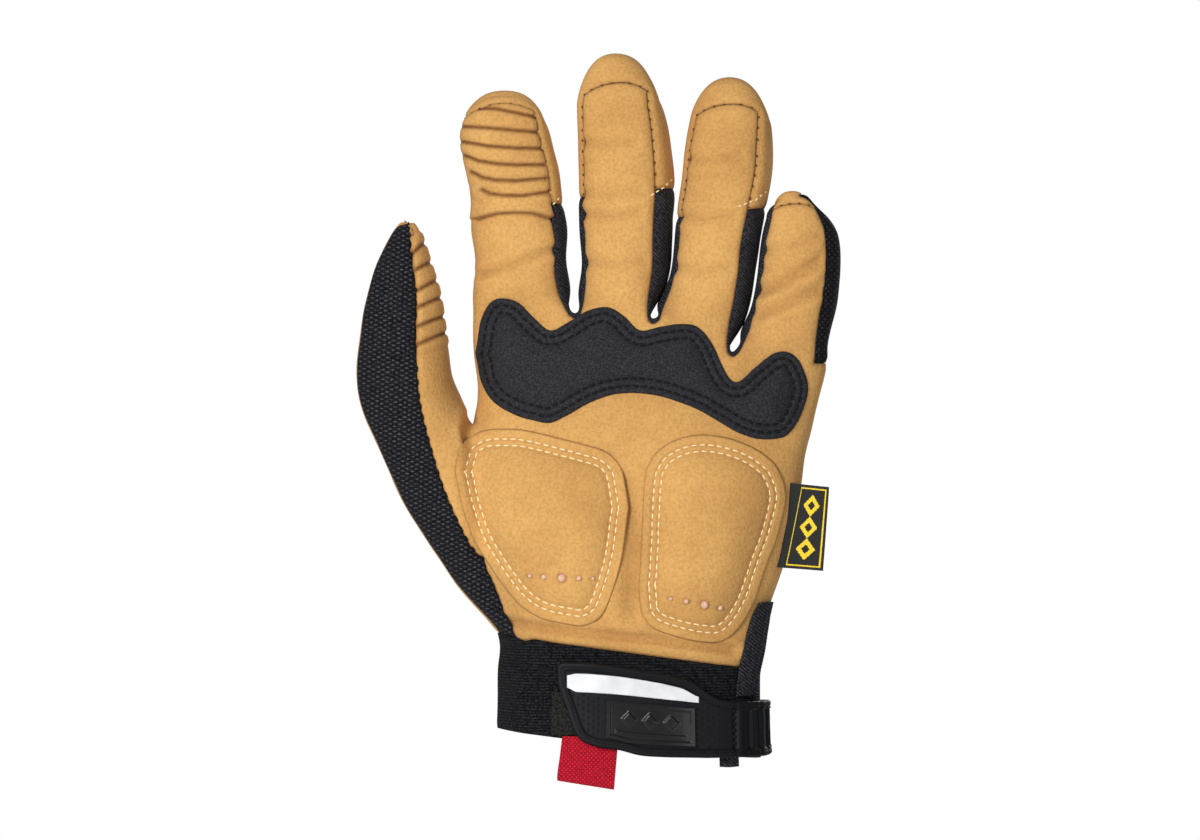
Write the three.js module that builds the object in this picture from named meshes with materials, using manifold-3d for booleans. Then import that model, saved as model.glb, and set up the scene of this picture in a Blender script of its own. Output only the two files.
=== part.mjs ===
import * as THREE from "three";
import Module from "manifold-3d";

const wasm = await Module();
wasm.setup();

// Work glove for the left hand, filled as if worn, fingers up, palm towards -Y.
// Millimetres. The middle of the wrist opening is the origin.
const PANEL_WALL = 1.6;
const SEAM_GAP = 0.32;
const LAYER_GAP = 0.3;
const CROTCH_HEIGHT_LEFT = 150;
const CUFF_TOP_LEFT = 39;
const CUFF_TOP_SLOPE = -0.133;
const CUFF_HEM_LEFT = 6;
const CUFF_HEM_SLOPE = -0.11;
const CUFF_BANDS = 3;
const THUMB_TOP_ROW = 3;
const THUMB_LOW_ROW = 10;
const THUMB_SEAM = 3;
const RIB_HEIGHT = 1.1;
const INDEX_RIB_PITCH = 4.7;
const THUMB_RIB_PITCH = 5.4;
const HEEL_PAD_HEIGHT = 4.6;
const KNUCKLE_PAD_HEIGHT = 3.4;
const PAD_EDGE = 1.4;
const STRAP_THICK = 2.4;
const LOOP_WIDTH = 18.6;
const LOOP_DROP = 11.5;

// Line of the finger roots across the hand: x and height of each of 16 lines
const ROOT_X = [-50, -43, -31, -20.2, -16.6, -9, 0, 7.6, 11, 18, 27, 35.2, 38.8, 46, 57, 65.5];
const ROOT_Z = [150, 151, 151, 150, 150, 150, 149, 148, 148, 146, 141, 137, 137, 136, 135, 133];

// Palm rows from the finger roots to the cuff: drop, left edge, right edge, corner line, half depth
const PALM_ROWS = [
  { drop: 0, left: -53.6, right: 69.2, corner: -50, deep: 16.5 },
  { drop: 0.11, left: -53.5, right: 66.4, corner: -49, deep: 19 },
  { drop: 0.22, left: -52, right: 63.6, corner: -47.5, deep: 21 },
  { drop: 0.325, left: -52.6, right: 61, corner: -47, deep: 23 },
  { drop: 0.47, left: -62, right: 59, corner: -50, deep: 25.5 },
  { drop: 0.62, left: -61, right: 55.4, corner: -50.5, deep: 27.5 },
  { drop: 0.765, left: -57, right: 50, corner: -50, deep: 28.5 },
  { drop: 0.825, left: -53.5, right: 48.4, corner: -47.6, deep: 28.8 },
  { drop: 0.884, left: -50, right: 47.6, corner: -44.9, deep: 28.8 },
  { drop: 0.942, left: -47.2, right: 47, corner: -42, deep: 28.6 },
  { drop: 1, left: -45.2, right: 46.2, corner: -39, deep: 28.6 },
];
const CUFF_ROWS = [
  { left: -44.4, right: 45.8, corner: -38.5, deep: 28.4 },
  { left: -44.6, right: 46, corner: -38.5, deep: 28.4 },
  { left: -45, right: 46.4, corner: -39, deep: 28.8 },
];

// Finger sections: height, middle, forward, width, depth, roll in degrees, side slope, drop of the sides
const FINGERS = {
  index: {
    line: 0,
    wrap: 190,
    seam: 223.5,
    sections: [
      { z: 158, x: -36.9, y: 0, wide: 33.6, deep: 31, roll: 3, slope: 0, dome: 0 },
      { z: 168, x: -37.1, y: -1, wide: 31.4, deep: 29, roll: 4, slope: 0, dome: 0 },
      { z: 179, x: -37.8, y: -2.5, wide: 33.2, deep: 28.5, roll: 4, slope: 0, dome: 0 },
      { z: 188, x: -38.6, y: -4, wide: 31.8, deep: 27, roll: 4, slope: 0, dome: 0 },
      { z: 198, x: -39.6, y: -6, wide: 31.6, deep: 26.5, roll: 4, slope: 1, dome: 0 },
      { z: 206, x: -41.6, y: -8, wide: 31.4, deep: 25.5, roll: 4, slope: 1, dome: 0 },
      { z: 214, x: -42.8, y: -10.3, wide: 30.2, deep: 23.4, roll: 4, slope: 1, dome: 1 },
      { z: 222.6, x: -43, y: -13, wide: 27.4, deep: 16.6, roll: 4, slope: 0, dome: 5 },
      { z: 225.4, x: -43, y: -13, wide: 23.4, deep: 11, roll: 4, slope: 0, dome: 4 },
    ],
    tip: { z: 226.7, x: -43, y: -13 },
  },
  middle: {
    line: 4,
    wrap: 193,
    seam: 231,
    sections: [
      { z: 157, x: -2.5, y: 1, wide: 29.4, deep: 30, roll: 8, slope: 0, dome: 0 },
      { z: 167, x: -0.6, y: 0.5, wide: 30.8, deep: 29.5, roll: 14, slope: 0, dome: 0 },
      { z: 179, x: -0.6, y: -0.5, wide: 32.4, deep: 29, roll: 16, slope: 0, dome: 0 },
      { z: 192, x: -0.3, y: -2, wide: 33.2, deep: 28.5, roll: 16, slope: 1.5, dome: 0 },
      { z: 204, x: -0.9, y: -4, wide: 32.8, deep: 28, roll: 15, slope: 0, dome: 0 },
      { z: 214, x: -1.7, y: -6, wide: 31.6, deep: 26.5, roll: 14, slope: 0, dome: 0 },
      { z: 223, x: -2.8, y: -8, wide: 29.8, deep: 24, roll: 12, slope: 0, dome: 1.5 },
      { z: 230, x: -3.3, y: -10, wide: 28.4, deep: 18.6, roll: 10, slope: 0, dome: 6 },
      { z: 235.8, x: -3.7, y: -10.6, wide: 24, deep: 13, roll: 8, slope: 0, dome: 5.5 },
    ],
    tip: { z: 239.1, x: -4, y: -10.4 },
  },
  ring: {
    line: 8,
    wrap: 189,
    seam: 224,
    sections: [
      { z: 150, x: 25.2, y: 0, wide: 30, deep: 29, roll: 8, slope: -3.5, dome: 0 },
      { z: 160, x: 28.8, y: 0, wide: 29.2, deep: 28.5, roll: 14, slope: -2, dome: 0 },
      { z: 172, x: 30.7, y: -1, wide: 29.4, deep: 28, roll: 16, slope: 0, dome: 0 },
      { z: 185, x: 32.4, y: -2.5, wide: 31, deep: 27.5, roll: 16, slope: 1.5, dome: 0 },
      { z: 197, x: 34.3, y: -4.5, wide: 31.2, deep: 27, roll: 15, slope: 0, dome: 0 },
      { z: 206, x: 35, y: -6, wide: 30.8, deep: 26, roll: 14, slope: 0, dome: 0 },
      { z: 215, x: 35.4, y: -8, wide: 29, deep: 23.6, roll: 12, slope: 0, dome: 1 },
      { z: 222.6, x: 35.3, y: -10, wide: 27.6, deep: 18.4, roll: 10, slope: 0, dome: 5.5 },
      { z: 227.6, x: 35.1, y: -10.6, wide: 23.6, deep: 12.6, roll: 8, slope: 0, dome: 5 },
    ],
    tip: { z: 230.8, x: 35, y: -10.4 },
  },
  pinky: {
    line: 12,
    wrap: 400,
    seam: 189,
    sections: [
      { z: 142, x: 54.4, y: -0.5, wide: 30.4, deep: 28, roll: 6, slope: -2, dome: 0 },
      { z: 151, x: 57.3, y: -1, wide: 30, deep: 27.5, roll: 12, slope: 0, dome: 0 },
      { z: 161, x: 59.2, y: -2, wide: 29.2, deep: 26.5, roll: 14, slope: 0, dome: 0 },
      { z: 170, x: 59.8, y: -3.5, wide: 28.2, deep: 25, roll: 14, slope: 0, dome: 0 },
      { z: 178, x: 59.8, y: -5, wide: 26, deep: 22.5, roll: 12, slope: 0, dome: 0 },
      { z: 184, x: 59, y: -6.5, wide: 22, deep: 18, roll: 10, slope: 0, dome: 1 },
      { z: 188.4, x: 58, y: -7.7, wide: 19, deep: 13, roll: 8, slope: 0, dome: 3 },
      { z: 191, x: 57.5, y: -8, wide: 13.6, deep: 8.4, roll: 6, slope: 0, dome: 2.5 },
    ],
    tip: { z: 192.2, x: 57.3, y: -8 },
  },
};

// Thumb rings from the hand to the tip: inner point, outer point, thickness, forward, seam in degrees
const THUMB = [
  { inX: -54.2, inZ: 112.1, outX: -56.9, outZ: 52.4, thick: 43, y: -1, seam: 106 },
  { inX: -55.9, inZ: 115.6, outX: -68.3, outZ: 69, thick: 43, y: -3, seam: 98 },
  { inX: -58.3, inZ: 122.1, outX: -78, outZ: 84.5, thick: 41, y: -5, seam: 89 },
  { inX: -61, inZ: 129, outX: -86.9, outZ: 104.2, thick: 38, y: -8, seam: 81 },
  { inX: -62.1, inZ: 137.3, outX: -93.2, outZ: 120.1, thick: 35.5, y: -10, seam: 73 },
  { inX: -63.5, inZ: 145.9, outX: -93.8, outZ: 135.2, thick: 33, y: -12, seam: 70 },
  { inX: -64.9, inZ: 155.6, outX: -91.4, outZ: 151.1, thick: 31, y: -14, seam: 68 },
  { inX: -68, inZ: 166.6, outX: -87.6, outZ: 165.6, thick: 27, y: -15, seam: 69 },
  { inX: -71.2, inZ: 176.6, outX: -82.4, outZ: 176.6, thick: 18, y: -15.5, seam: 74 },
];
const THUMB_TIP = { z: 181.6, x: -76.4, y: -15.5 };

const mix = (a, b, t) => a + (b - a) * t;
const rad = (degrees) => (degrees * Math.PI) / 180;

function spline(a, b, c, d, t) {
  const m = (c - a) / 2;
  const n = (d - b) / 2;
  const t2 = t * t;
  const t3 = t2 * t;
  return (2 * t3 - 3 * t2 + 1) * b + (t3 - 2 * t2 + t) * m + (3 * t2 - 2 * t3) * c + (t3 - t2) * n;
}

// A table read between its rows: at 2.5 it is halfway from row 2 to row 3
function between(table, at) {
  const last = table.length - 1;
  const low = Math.min(Math.max(Math.floor(at), 0), last - 1);
  const pick = (k) => table[Math.min(Math.max(k, 0), last)];
  const made = {};
  for (const name of Object.keys(table[0])) {
    made[name] = spline(
      pick(low - 1)[name],
      pick(low)[name],
      pick(low + 1)[name],
      pick(low + 2)[name],
      at - low,
    );
  }
  return made;
}

// Rounded oval: point at an angle, 0 towards +X, 90 towards +Y
function oval(angle, halfWide, halfDeep, square) {
  const c = Math.cos(rad(angle));
  const s = Math.sin(rad(angle));
  const power = 2 / square;
  return [
    halfWide * Math.sign(c) * Math.abs(c) ** power,
    halfDeep * Math.sign(s) * Math.abs(s) ** power,
  ];
}

// The skin of the glove as points and four-sided faces, each with the name of its panel
const points = [];
const faces = [];
const put = (x, y, z) => points.push(new THREE.Vector3(x, y, z)) - 1;
const face = (a, b, c, d, panel) => faces.push({ corners: [a, b, c, d], panel });

// Palm and cuff rings
const cuffTop = (x) => CUFF_TOP_LEFT + CUFF_TOP_SLOPE * (x + 45);
const cuffHem = (x) => CUFF_HEM_LEFT + CUFF_HEM_SLOPE * (x + 45);
const ROOT_SPAN = ROOT_X[15] - ROOT_X[0];
const PALM_SQUARE = 2.6;

function ringPoint(row, line, side, spread, heightAt) {
  const middle = (row.left + row.right) / 2;
  const half = (row.right - row.left) / 2;
  const first = row.corner;
  const last = middle + 0.93 * half;
  const even = line / 15;
  const rooted = (ROOT_X[line] - ROOT_X[0]) / ROOT_SPAN;
  const x = mix(first, last, mix(rooted, even, spread));
  const u = Math.min(Math.abs(x - middle) / half, 0.999);
  const deep = row.deep * (1 - u ** PALM_SQUARE) ** (1 / PALM_SQUARE);
  return put(x, side * deep, heightAt(x, line));
}

function makeRing(row, spread, heightAt) {
  const ring = [];
  const half = (row.right - row.left) / 2;
  const middle = (row.left + row.right) / 2;
  for (let line = 0; line < 16; line++) ring.push(ringPoint(row, line, -1, spread, heightAt));
  for (const v of [-0.2, 0.2]) {
    ring.push(put(middle + half * 0.995, v * row.deep, heightAt(middle + half, 15)));
  }
  for (let line = 15; line >= 0; line--) ring.push(ringPoint(row, line, 1, spread, heightAt));
  for (const v of [0.2, -0.2]) {
    ring.push(put(middle - half * 0.995, v * row.deep, heightAt(middle - half, 0)));
  }
  return ring;
}

const rings = PALM_ROWS.map((row, k) =>
  makeRing(row, Math.min(1, k / 4), (x, line) => mix(ROOT_Z[line], cuffTop(x), row.drop)),
);
CUFF_ROWS.forEach((row, k) => {
  const share = (k + 1) / CUFF_BANDS;
  rings.push(makeRing(row, 1, (x) => mix(cuffTop(x), cuffHem(x), share)));
});

for (let k = 0; k + 1 < rings.length; k++) {
  for (let m = 0; m < 36; m++) {
    const n = (m + 1) % 36;
    const onThumb = m >= 33 && k >= THUMB_TOP_ROW && k < THUMB_LOW_ROW;
    if (onThumb) continue;
    let panel = m < 17 || m > 33 ? "palm_leather" : "back_fabric";
    if (k >= THUMB_LOW_ROW) panel = "wrist_cuff";
    face(rings[k + 1][m], rings[k + 1][n], rings[k][n], rings[k][m], panel);
  }
}

// Floors between the fingers
const rootLine = (line) => {
  const ring = rings[0];
  if (line === 0) return [ring[0], ring[35], ring[34], ring[33]];
  if (line === 15) return [ring[15], ring[16], ring[17], ring[18]];
  const front = points[ring[line]];
  const back = points[ring[33 - line]];
  const inner = [1 / 3, 2 / 3].map((t) =>
    put(mix(front.x, back.x, t), mix(front.y, back.y, t), mix(front.z, back.z, t) + 0.8),
  );
  return [ring[line], inner[0], inner[1], ring[33 - line]];
};
const roots = {};
for (const line of [0, 3, 4, 7, 8, 11, 12, 15]) roots[line] = rootLine(line);
const floors = [
  [3, "sidewall_index_middle"],
  [7, "sidewall_middle_ring"],
  [11, "sidewall_ring_pinky"],
];
for (const [line, panel] of floors) {
  for (let j = 0; j < 3; j++) {
    const a = roots[line];
    const b = roots[line + 1];
    face(a[j], b[j], b[j + 1], a[j + 1], panel);
  }
}

// Fingers: rings of 12 points, front 0 to 3, right side, back 6 to 9, left side
const FINGER_ANGLES = [-140, -107, -73, -40, -14, 14, 40, 73, 107, 140, 166, 194];
const SIDE_OF = {
  index: [null, "sidewall_index_middle"],
  middle: ["sidewall_index_middle", "sidewall_middle_ring"],
  ring: ["sidewall_middle_ring", "sidewall_ring_pinky"],
  pinky: ["sidewall_ring_pinky", null],
};

function fingerRing(cut, rib) {
  const turn = -rad(cut.roll);
  const flat = FINGER_ANGLES.map((angle) => {
    const [x, y] = oval(angle, cut.wide / 2, cut.deep / 2, 2.3);
    return [x * Math.cos(turn) - y * Math.sin(turn), x * Math.sin(turn) + y * Math.cos(turn)];
  });
  const widest = Math.max(...flat.map(([x]) => Math.abs(x)));
  const stretch = cut.wide / 2 / widest;
  return flat.map(([x, y], m) => {
    const across = x * stretch;
    const lift = rib * [0.55, 1, 1, 0.4, 0, 0, 0, 0, 0, 0, 0, 0.25][m];
    const out = Math.hypot(across, y);
    const grow = 1 + lift / out;
    const share = across / (cut.wide / 2);
    const height = cut.z + cut.slope * share - cut.dome * share * share;
    return put(cut.x + across * grow, cut.y + y * grow, height);
  });
}

// Where a table of sections reaches a height
function rowAt(table, z) {
  let k = 0;
  while (k < table.length - 2 && table[k + 1].z < z) k++;
  return k + (z - table[k].z) / (table[k + 1].z - table[k].z);
}

function panelOf(name, m, z, wrap, seam) {
  const [left, right] = SIDE_OF[name];
  if (name !== "pinky" && z > seam) return `${name}_tip`;
  if (m < 3) return z > seam ? "pinky_tip" : "palm_leather";
  if (z > wrap) return m > 9 && !left ? "palm_leather" : `${name}_tip`;
  if (m < 6) return right ?? "back_fabric";
  if (m < 9) return "back_fabric";
  if (left) return left;
  return m > 9 ? "palm_leather" : "back_fabric";
}

function growFinger(name, { line, wrap, seam, sections, tip }) {
  const a = roots[line];
  const b = roots[line + 3];
  const base = rings[0];
  let ring = [a[0], base[line + 1], base[line + 2], b[0], b[1], b[2], b[3]];
  ring = [...ring, base[33 - line - 2], base[33 - line - 1], a[3], a[2], a[1]];
  const heights = sections.map((s) => s.z);
  const ribs = [];
  if (name === "index") {
    for (let n = 0; n < 13; n++) ribs.push([190.5 + (n * INDEX_RIB_PITCH) / 2, (n % 2) * RIB_HEIGHT]);
  }
  const levels = ribs.length
    ? [...heights.filter((z) => z < 190).map((z) => [z, 0]), ...ribs, [heights.at(-2), 0], [heights.at(-1), 0]]
    : heights.map((z) => [z, 0]);
  levels.forEach(([z, rib]) => {
    const made = fingerRing({ ...between(sections, rowAt(sections, z)), z }, rib);
    const middle = (points[ring[1]].z + points[made[1]].z) / 2;
    for (let m = 0; m < 12; m++) {
      const n = (m + 1) % 12;
      face(ring[m], ring[n], made[n], made[m], panelOf(name, m, middle, wrap, seam));
    }
    ring = made;
  });
  const rim = (i, j) => {
    if (j === 0) return ring[i];
    if (j === 3) return ring[9 - i];
    return i === 0 ? ring[12 - j] : ring[3 + j];
  };
  const cap = {};
  for (let i = 0; i < 4; i++) {
    for (let j = 0; j < 4; j++) {
      const inner = (i === 1 || i === 2) && (j === 1 || j === 2);
      const reach = sections.at(-1);
      const across = (i - 1.5) * reach.wide * 0.3;
      const along = (j - 1.5) * reach.deep * 0.4;
      cap[`${i},${j}`] = inner ? put(tip.x + across, tip.y + along, tip.z) : rim(i, j);
    }
  }
  for (let i = 0; i < 3; i++) {
    for (let j = 0; j < 3; j++) {
      const panel = name === "pinky" && i === 2 ? "back_fabric" : `${name}_tip`;
      const at = (p, q) => cap[`${i + p},${j + q}`];
      face(at(0, 0), at(1, 0), at(1, 1), at(0, 1), panel);
    }
  }
}
for (const [name, finger] of Object.entries(FINGERS)) growFinger(name, finger);

// Thumb: rings of 20 points, front 0 to 7 from the web outwards, outer side, back, inner side
function thumbRing(cut, rib) {
  const middle = [(cut.inX + cut.outX) / 2, (cut.inZ + cut.outZ) / 2];
  const half = Math.hypot(cut.inX - cut.outX, cut.inZ - cut.outZ) / 2;
  const dir = [(cut.inX - middle[0]) / half, (cut.inZ - middle[1]) / half];
  const front = [];
  for (let m = 0; m < 8; m++) {
    front.push(m < 3 ? mix(25, cut.seam, m / 3) : mix(cut.seam, 155, (m - 3) / 4));
  }
  const back = front.map((angle) => -angle).reverse();
  const angles = [...front, 172, 188, ...back, -8, 8];
  return angles.map((angle) => {
    const [along, up] = oval(angle, half, cut.thick / 2, 2.2);
    const facing = Math.max(0, Math.cos(rad(angle - 12)));
    const lift = rib * Math.min(1, facing * 1.6);
    const grow = 1 + lift / Math.hypot(along, up);
    const x = middle[0] + dir[0] * along * grow;
    return put(x, cut.y - up * grow, middle[1] + dir[1] * along * grow);
  });
}

function thumbPanel(m) {
  if (m < THUMB_SEAM || m > 16) return "palm_leather";
  return m < 8 ? "thumb_knit" : "thumb_back";
}

function growThumb() {
  const first = [];
  for (let k = THUMB_TOP_ROW; k <= THUMB_LOW_ROW; k++) first.push(rings[k][0]);
  first.push(rings[THUMB_LOW_ROW][35], rings[THUMB_LOW_ROW][34]);
  for (let k = THUMB_LOW_ROW; k >= THUMB_TOP_ROW; k--) first.push(rings[k][33]);
  first.push(rings[THUMB_TOP_ROW][34], rings[THUMB_TOP_ROW][35]);
  const levels = [];
  for (let k = 0; k < 5; k++) levels.push([k, 0]);
  for (let n = 0; n < 12; n++) levels.push([4.5 + n * 0.27, (n % 2) * RIB_HEIGHT]);
  levels.push([7.75, 0], [8, 0]);
  let ring = first;
  for (const [at, rib] of levels) {
    const made = thumbRing(between(THUMB, at), rib);
    for (let m = 0; m < 20; m++) {
      const n = (m + 1) % 20;
      face(ring[m], made[m], made[n], ring[n], thumbPanel(m));
    }
    ring = made;
  }
  const cap = {};
  for (let k = 0; k < 8; k++) {
    for (let j = 0; j < 4; j++) {
      const side = (k === 0 ? [0, 19, 18, 17] : [7, 8, 9, 10])[j];
      const edge = j === 0 ? k : 17 - k;
      const inner = k > 0 && k < 7 && (j === 1 || j === 2);
      const x = THUMB_TIP.x + (3.5 - k) * 1.15;
      const drop = Math.abs(3.5 - k) * 0.35;
      const made = () => put(x, THUMB_TIP.y + (j - 1.5) * 4.6, THUMB_TIP.z - drop);
      cap[`${k},${j}`] = inner ? made() : ring[k === 0 || k === 7 ? side : edge];
    }
  }
  for (let k = 0; k < 7; k++) {
    for (let j = 0; j < 3; j++) {
      const at = (p, q) => cap[`${k + p},${j + q}`];
      let panel = k < 3 ? "palm_leather" : "thumb_knit";
      if (k >= 3 && j > 0) panel = "thumb_back";
      face(at(0, 0), at(0, 1), at(1, 1), at(1, 0), panel);
    }
  }
}
growThumb();

// Directions straight out of the skin at each point
const cross = (a, b, c) => {
  const u = new THREE.Vector3().subVectors(b, a);
  return u.cross(new THREE.Vector3().subVectors(c, a));
};
const outward = points.map(() => new THREE.Vector3());
for (const { corners } of faces) {
  const [a, b, c, d] = corners.map((k) => points[k]);
  const n = cross(a, b, c).add(cross(a, c, d)).normalize();
  for (const k of corners) outward[k].add(n);
}
for (const n of outward) n.normalize();

// Four-sided face as two triangles, cut across its shorter diagonal
function split([a, b, c, d], at) {
  const straight = at[a].distanceTo(at[c]) <= at[b].distanceTo(at[d]);
  return straight ? [[a, b, c], [a, c, d]] : [[a, b, d], [b, c, d]];
}

function solidFrom(vertices, triangles) {
  const flat = new Float32Array(vertices.length * 3);
  vertices.forEach((v, k) => flat.set([v.x, v.y, v.z], k * 3));
  const mesh = new wasm.Mesh({
    numProp: 3,
    vertProperties: flat,
    triVerts: Uint32Array.from(triangles.flat()),
  });
  mesh.merge();
  return new wasm.Manifold(mesh);
}

function geometryOf(vertices, triangles) {
  const flat = vertices.flatMap((v) => [v.x, v.y, v.z]);
  const geometry = new THREE.BufferGeometry();
  geometry.setAttribute("position", new THREE.Float32BufferAttribute(flat, 3));
  geometry.setIndex(triangles.flat());
  geometry.computeVertexNormals();
  return geometry;
}

function geometryOfSolid(solid) {
  const mesh = solid.getMesh();
  const vertices = [];
  for (let k = 0; k < mesh.vertProperties.length; k += mesh.numProp) {
    vertices.push(new THREE.Vector3(...mesh.vertProperties.slice(k, k + 3)));
  }
  const triangles = [];
  for (let k = 0; k < mesh.triVerts.length; k += 3) {
    triangles.push([...mesh.triVerts.slice(k, k + 3)]);
  }
  return geometryOf(vertices, triangles);
}

// A panel: its faces, drawn back by half the seam gap and given the wall
function panelShell(panel) {
  const own = faces.filter((f) => f.panel === panel);
  const uses = new Map();
  for (const { corners } of own) {
    corners.forEach((a, k) => {
      const b = corners[(k + 1) % 4];
      const key = a < b ? `${a},${b}` : `${b},${a}`;
      const others = corners.filter((v) => v !== a && v !== b);
      if (uses.has(key)) uses.set(key, null);
      else uses.set(key, { a, b, others });
    });
  }
  const pull = new Map();
  const rim = [];
  for (const edge of uses.values()) {
    if (!edge) continue;
    rim.push(edge);
    const along = new THREE.Vector3().subVectors(points[edge.b], points[edge.a]).normalize();
    const away = points[edge.others[0]].clone().add(points[edge.others[1]]).multiplyScalar(0.5);
    away.sub(points[edge.a]);
    away.addScaledVector(along, -away.dot(along)).normalize();
    for (const v of [edge.a, edge.b]) pull.set(v, [...(pull.get(v) ?? []), away]);
  }
  const index = new Map();
  const outer = [];
  const inner = [];
  for (const { corners } of own) {
    for (const v of corners) {
      if (index.has(v)) continue;
      index.set(v, outer.length);
      const p = points[v].clone();
      const pulls = pull.get(v);
      if (pulls) {
        const sum = new THREE.Vector3();
        for (const q of pulls) sum.add(q);
        const mate = pulls.length > 1 ? pulls[0].dot(pulls[1]) : 1;
        p.addScaledVector(sum, SEAM_GAP / 2 / Math.max(1 + mate, 0.5) / (pulls.length > 1 ? 1 : 0.5));
      }
      outer.push(p);
      inner.push(p.clone().addScaledVector(outward[v], -PANEL_WALL));
    }
  }
  const count = outer.length;
  const triangles = [];
  for (const { corners } of own) {
    const local = corners.map((v) => index.get(v));
    for (const [a, b, c] of split(local, outer)) {
      triangles.push([a, b, c], [a + count, c + count, b + count]);
    }
  }
  for (const { a, b } of rim) {
    const [p, q] = [index.get(a), index.get(b)];
    if (a < b) triangles.push([q, p, p + count], [q, p + count, q + count]);
    else triangles.push([q, p, q + count], [p, p + count, q + count]);
  }
  return [[...outer, ...inner], triangles];
}

// The whole skin as one solid, a little larger: what lies on the skin is cut back to it
function clearSkin(extra) {
  const vertices = points.map((p, k) => p.clone().addScaledVector(outward[k], extra));
  const triangles = faces.flatMap(({ corners }) => split(corners, points));
  const hem = rings.at(-1);
  const middle = vertices.push(new THREE.Vector3(0, 0, cuffHem(0))) - 1;
  hem.forEach((v, m) => triangles.push([hem[(m + 1) % 36], v, middle]));
  const used = new Map();
  const kept = [];
  const packed = triangles.map((t) =>
    t.map((v) => {
      if (!used.has(v)) used.set(v, kept.push(vertices[v]) - 1);
      return used.get(v);
    }),
  );
  return solidFrom(kept, packed);
}
const skinTriangles = faces.flatMap(({ corners }) => split(corners, points));

// Front of the skin, seen from the palm side, at a place
function skinFront(x, z) {
  let found = Infinity;
  for (const [a, b, c] of skinTriangles) {
    const [p, q, r] = [points[a], points[b], points[c]];
    const area = (q.x - p.x) * (r.z - p.z) - (r.x - p.x) * (q.z - p.z);
    if (area < 1e-9) continue;
    const s = ((q.x - x) * (r.z - z) - (r.x - x) * (q.z - z)) / area;
    const t = ((r.x - x) * (p.z - z) - (p.x - x) * (r.z - z)) / area;
    if (s < -1e-6 || t < -1e-6 || s + t > 1 + 1e-6) continue;
    found = Math.min(found, s * p.y + t * q.y + (1 - s - t) * r.y);
  }
  return found < Infinity ? found : skinFront(x * 0.99, z);
}

// Closed patch between two grids of points of the same size
function patchSolid(front, back) {
  const wide = front.length;
  const high = front[0].length;
  const vertices = [...front.flat(), ...back.flat()];
  const half = wide * high;
  const at = (i, j) => i * high + j;
  const triangles = [];
  const quad = (a, b, c, d) => triangles.push([a, b, c], [a, c, d]);
  for (let i = 0; i + 1 < wide; i++) {
    for (let j = 0; j + 1 < high; j++) {
      quad(at(i, j), at(i + 1, j), at(i + 1, j + 1), at(i, j + 1));
      const [a, b, c, d] = [at(i, j), at(i, j + 1), at(i + 1, j + 1), at(i + 1, j)];
      quad(a + half, b + half, c + half, d + half);
    }
  }
  for (let i = 0; i + 1 < wide; i++) {
    quad(at(i, 0), at(i, 0) + half, at(i + 1, 0) + half, at(i + 1, 0));
    const top = high - 1;
    quad(at(i + 1, top), at(i + 1, top) + half, at(i, top) + half, at(i, top));
  }
  for (let j = 0; j + 1 < high; j++) {
    quad(at(0, j + 1), at(0, j + 1) + half, at(0, j) + half, at(0, j));
    const end = wide - 1;
    quad(at(end, j), at(end, j) + half, at(end, j + 1) + half, at(end, j + 1));
  }
  return [vertices, triangles];
}

// Pads: place across, lower edge and upper edge
const KNUCKLE_PATCH = [
  { x: -52.4, low: 133, high: 140 },
  { x: -51, low: 126.5, high: 148 },
  { x: -48, low: 121, high: 153.5 },
  { x: -44, low: 117.5, high: 155.3 },
  { x: -38, low: 114.5, high: 153.8 },
  { x: -32.5, low: 113, high: 148.5 },
  { x: -27, low: 112.2, high: 144.2 },
  { x: -21, low: 114.8, high: 146.8 },
  { x: -14, low: 118.8, high: 151 },
  { x: -7, low: 121.5, high: 152.2 },
  { x: -1.5, low: 122.4, high: 149.2 },
  { x: 4, low: 122.4, high: 144.2 },
  { x: 11, low: 121.4, high: 145.4 },
  { x: 18, low: 119.2, high: 146.4 },
  { x: 24, low: 116.8, high: 145.4 },
  { x: 29, low: 114, high: 139.6 },
  { x: 34, low: 111, high: 129 },
  { x: 38, low: 108.8, high: 126.4 },
  { x: 44, low: 106.8, high: 131.4 },
  { x: 50, low: 106.6, high: 136 },
  { x: 55, low: 108, high: 136.8 },
  { x: 59, low: 113, high: 134 },
  { x: 61.8, low: 120, high: 128 },
];
const HEEL_PAD_THUMB = [
  { x: -59, low: 92, high: 99 },
  { x: -57, low: 83, high: 105 },
  { x: -53, low: 71.5, high: 108.4 },
  { x: -48, low: 63, high: 110 },
  { x: -42, low: 54.5, high: 110.2 },
  { x: -37, low: 49, high: 110 },
  { x: -30, low: 44.8, high: 108.6 },
  { x: -22, low: 43, high: 106.6 },
  { x: -15, low: 42.4, high: 104.8 },
  { x: -9, low: 46, high: 103 },
  { x: -5, low: 55, high: 100.4 },
  { x: -2, low: 66, high: 96 },
  { x: -0.4, low: 78, high: 88 },
];
const HEEL_PAD_LITTLE = [
  { x: 4.2, low: 48, high: 66 },
  { x: 5.5, low: 44.8, high: 92 },
  { x: 8, low: 42, high: 99.5 },
  { x: 12, low: 40, high: 104 },
  { x: 18, low: 38.2, high: 107 },
  { x: 25, low: 36.8, high: 108.2 },
  { x: 32, low: 36.8, high: 107.6 },
  { x: 38, low: 41, high: 106 },
  { x: 43.5, low: 50, high: 103.6 },
  { x: 48, low: 63, high: 100.6 },
  { x: 51.5, low: 72, high: 97 },
  { x: 54.2, low: 82, high: 91 },
];

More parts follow.
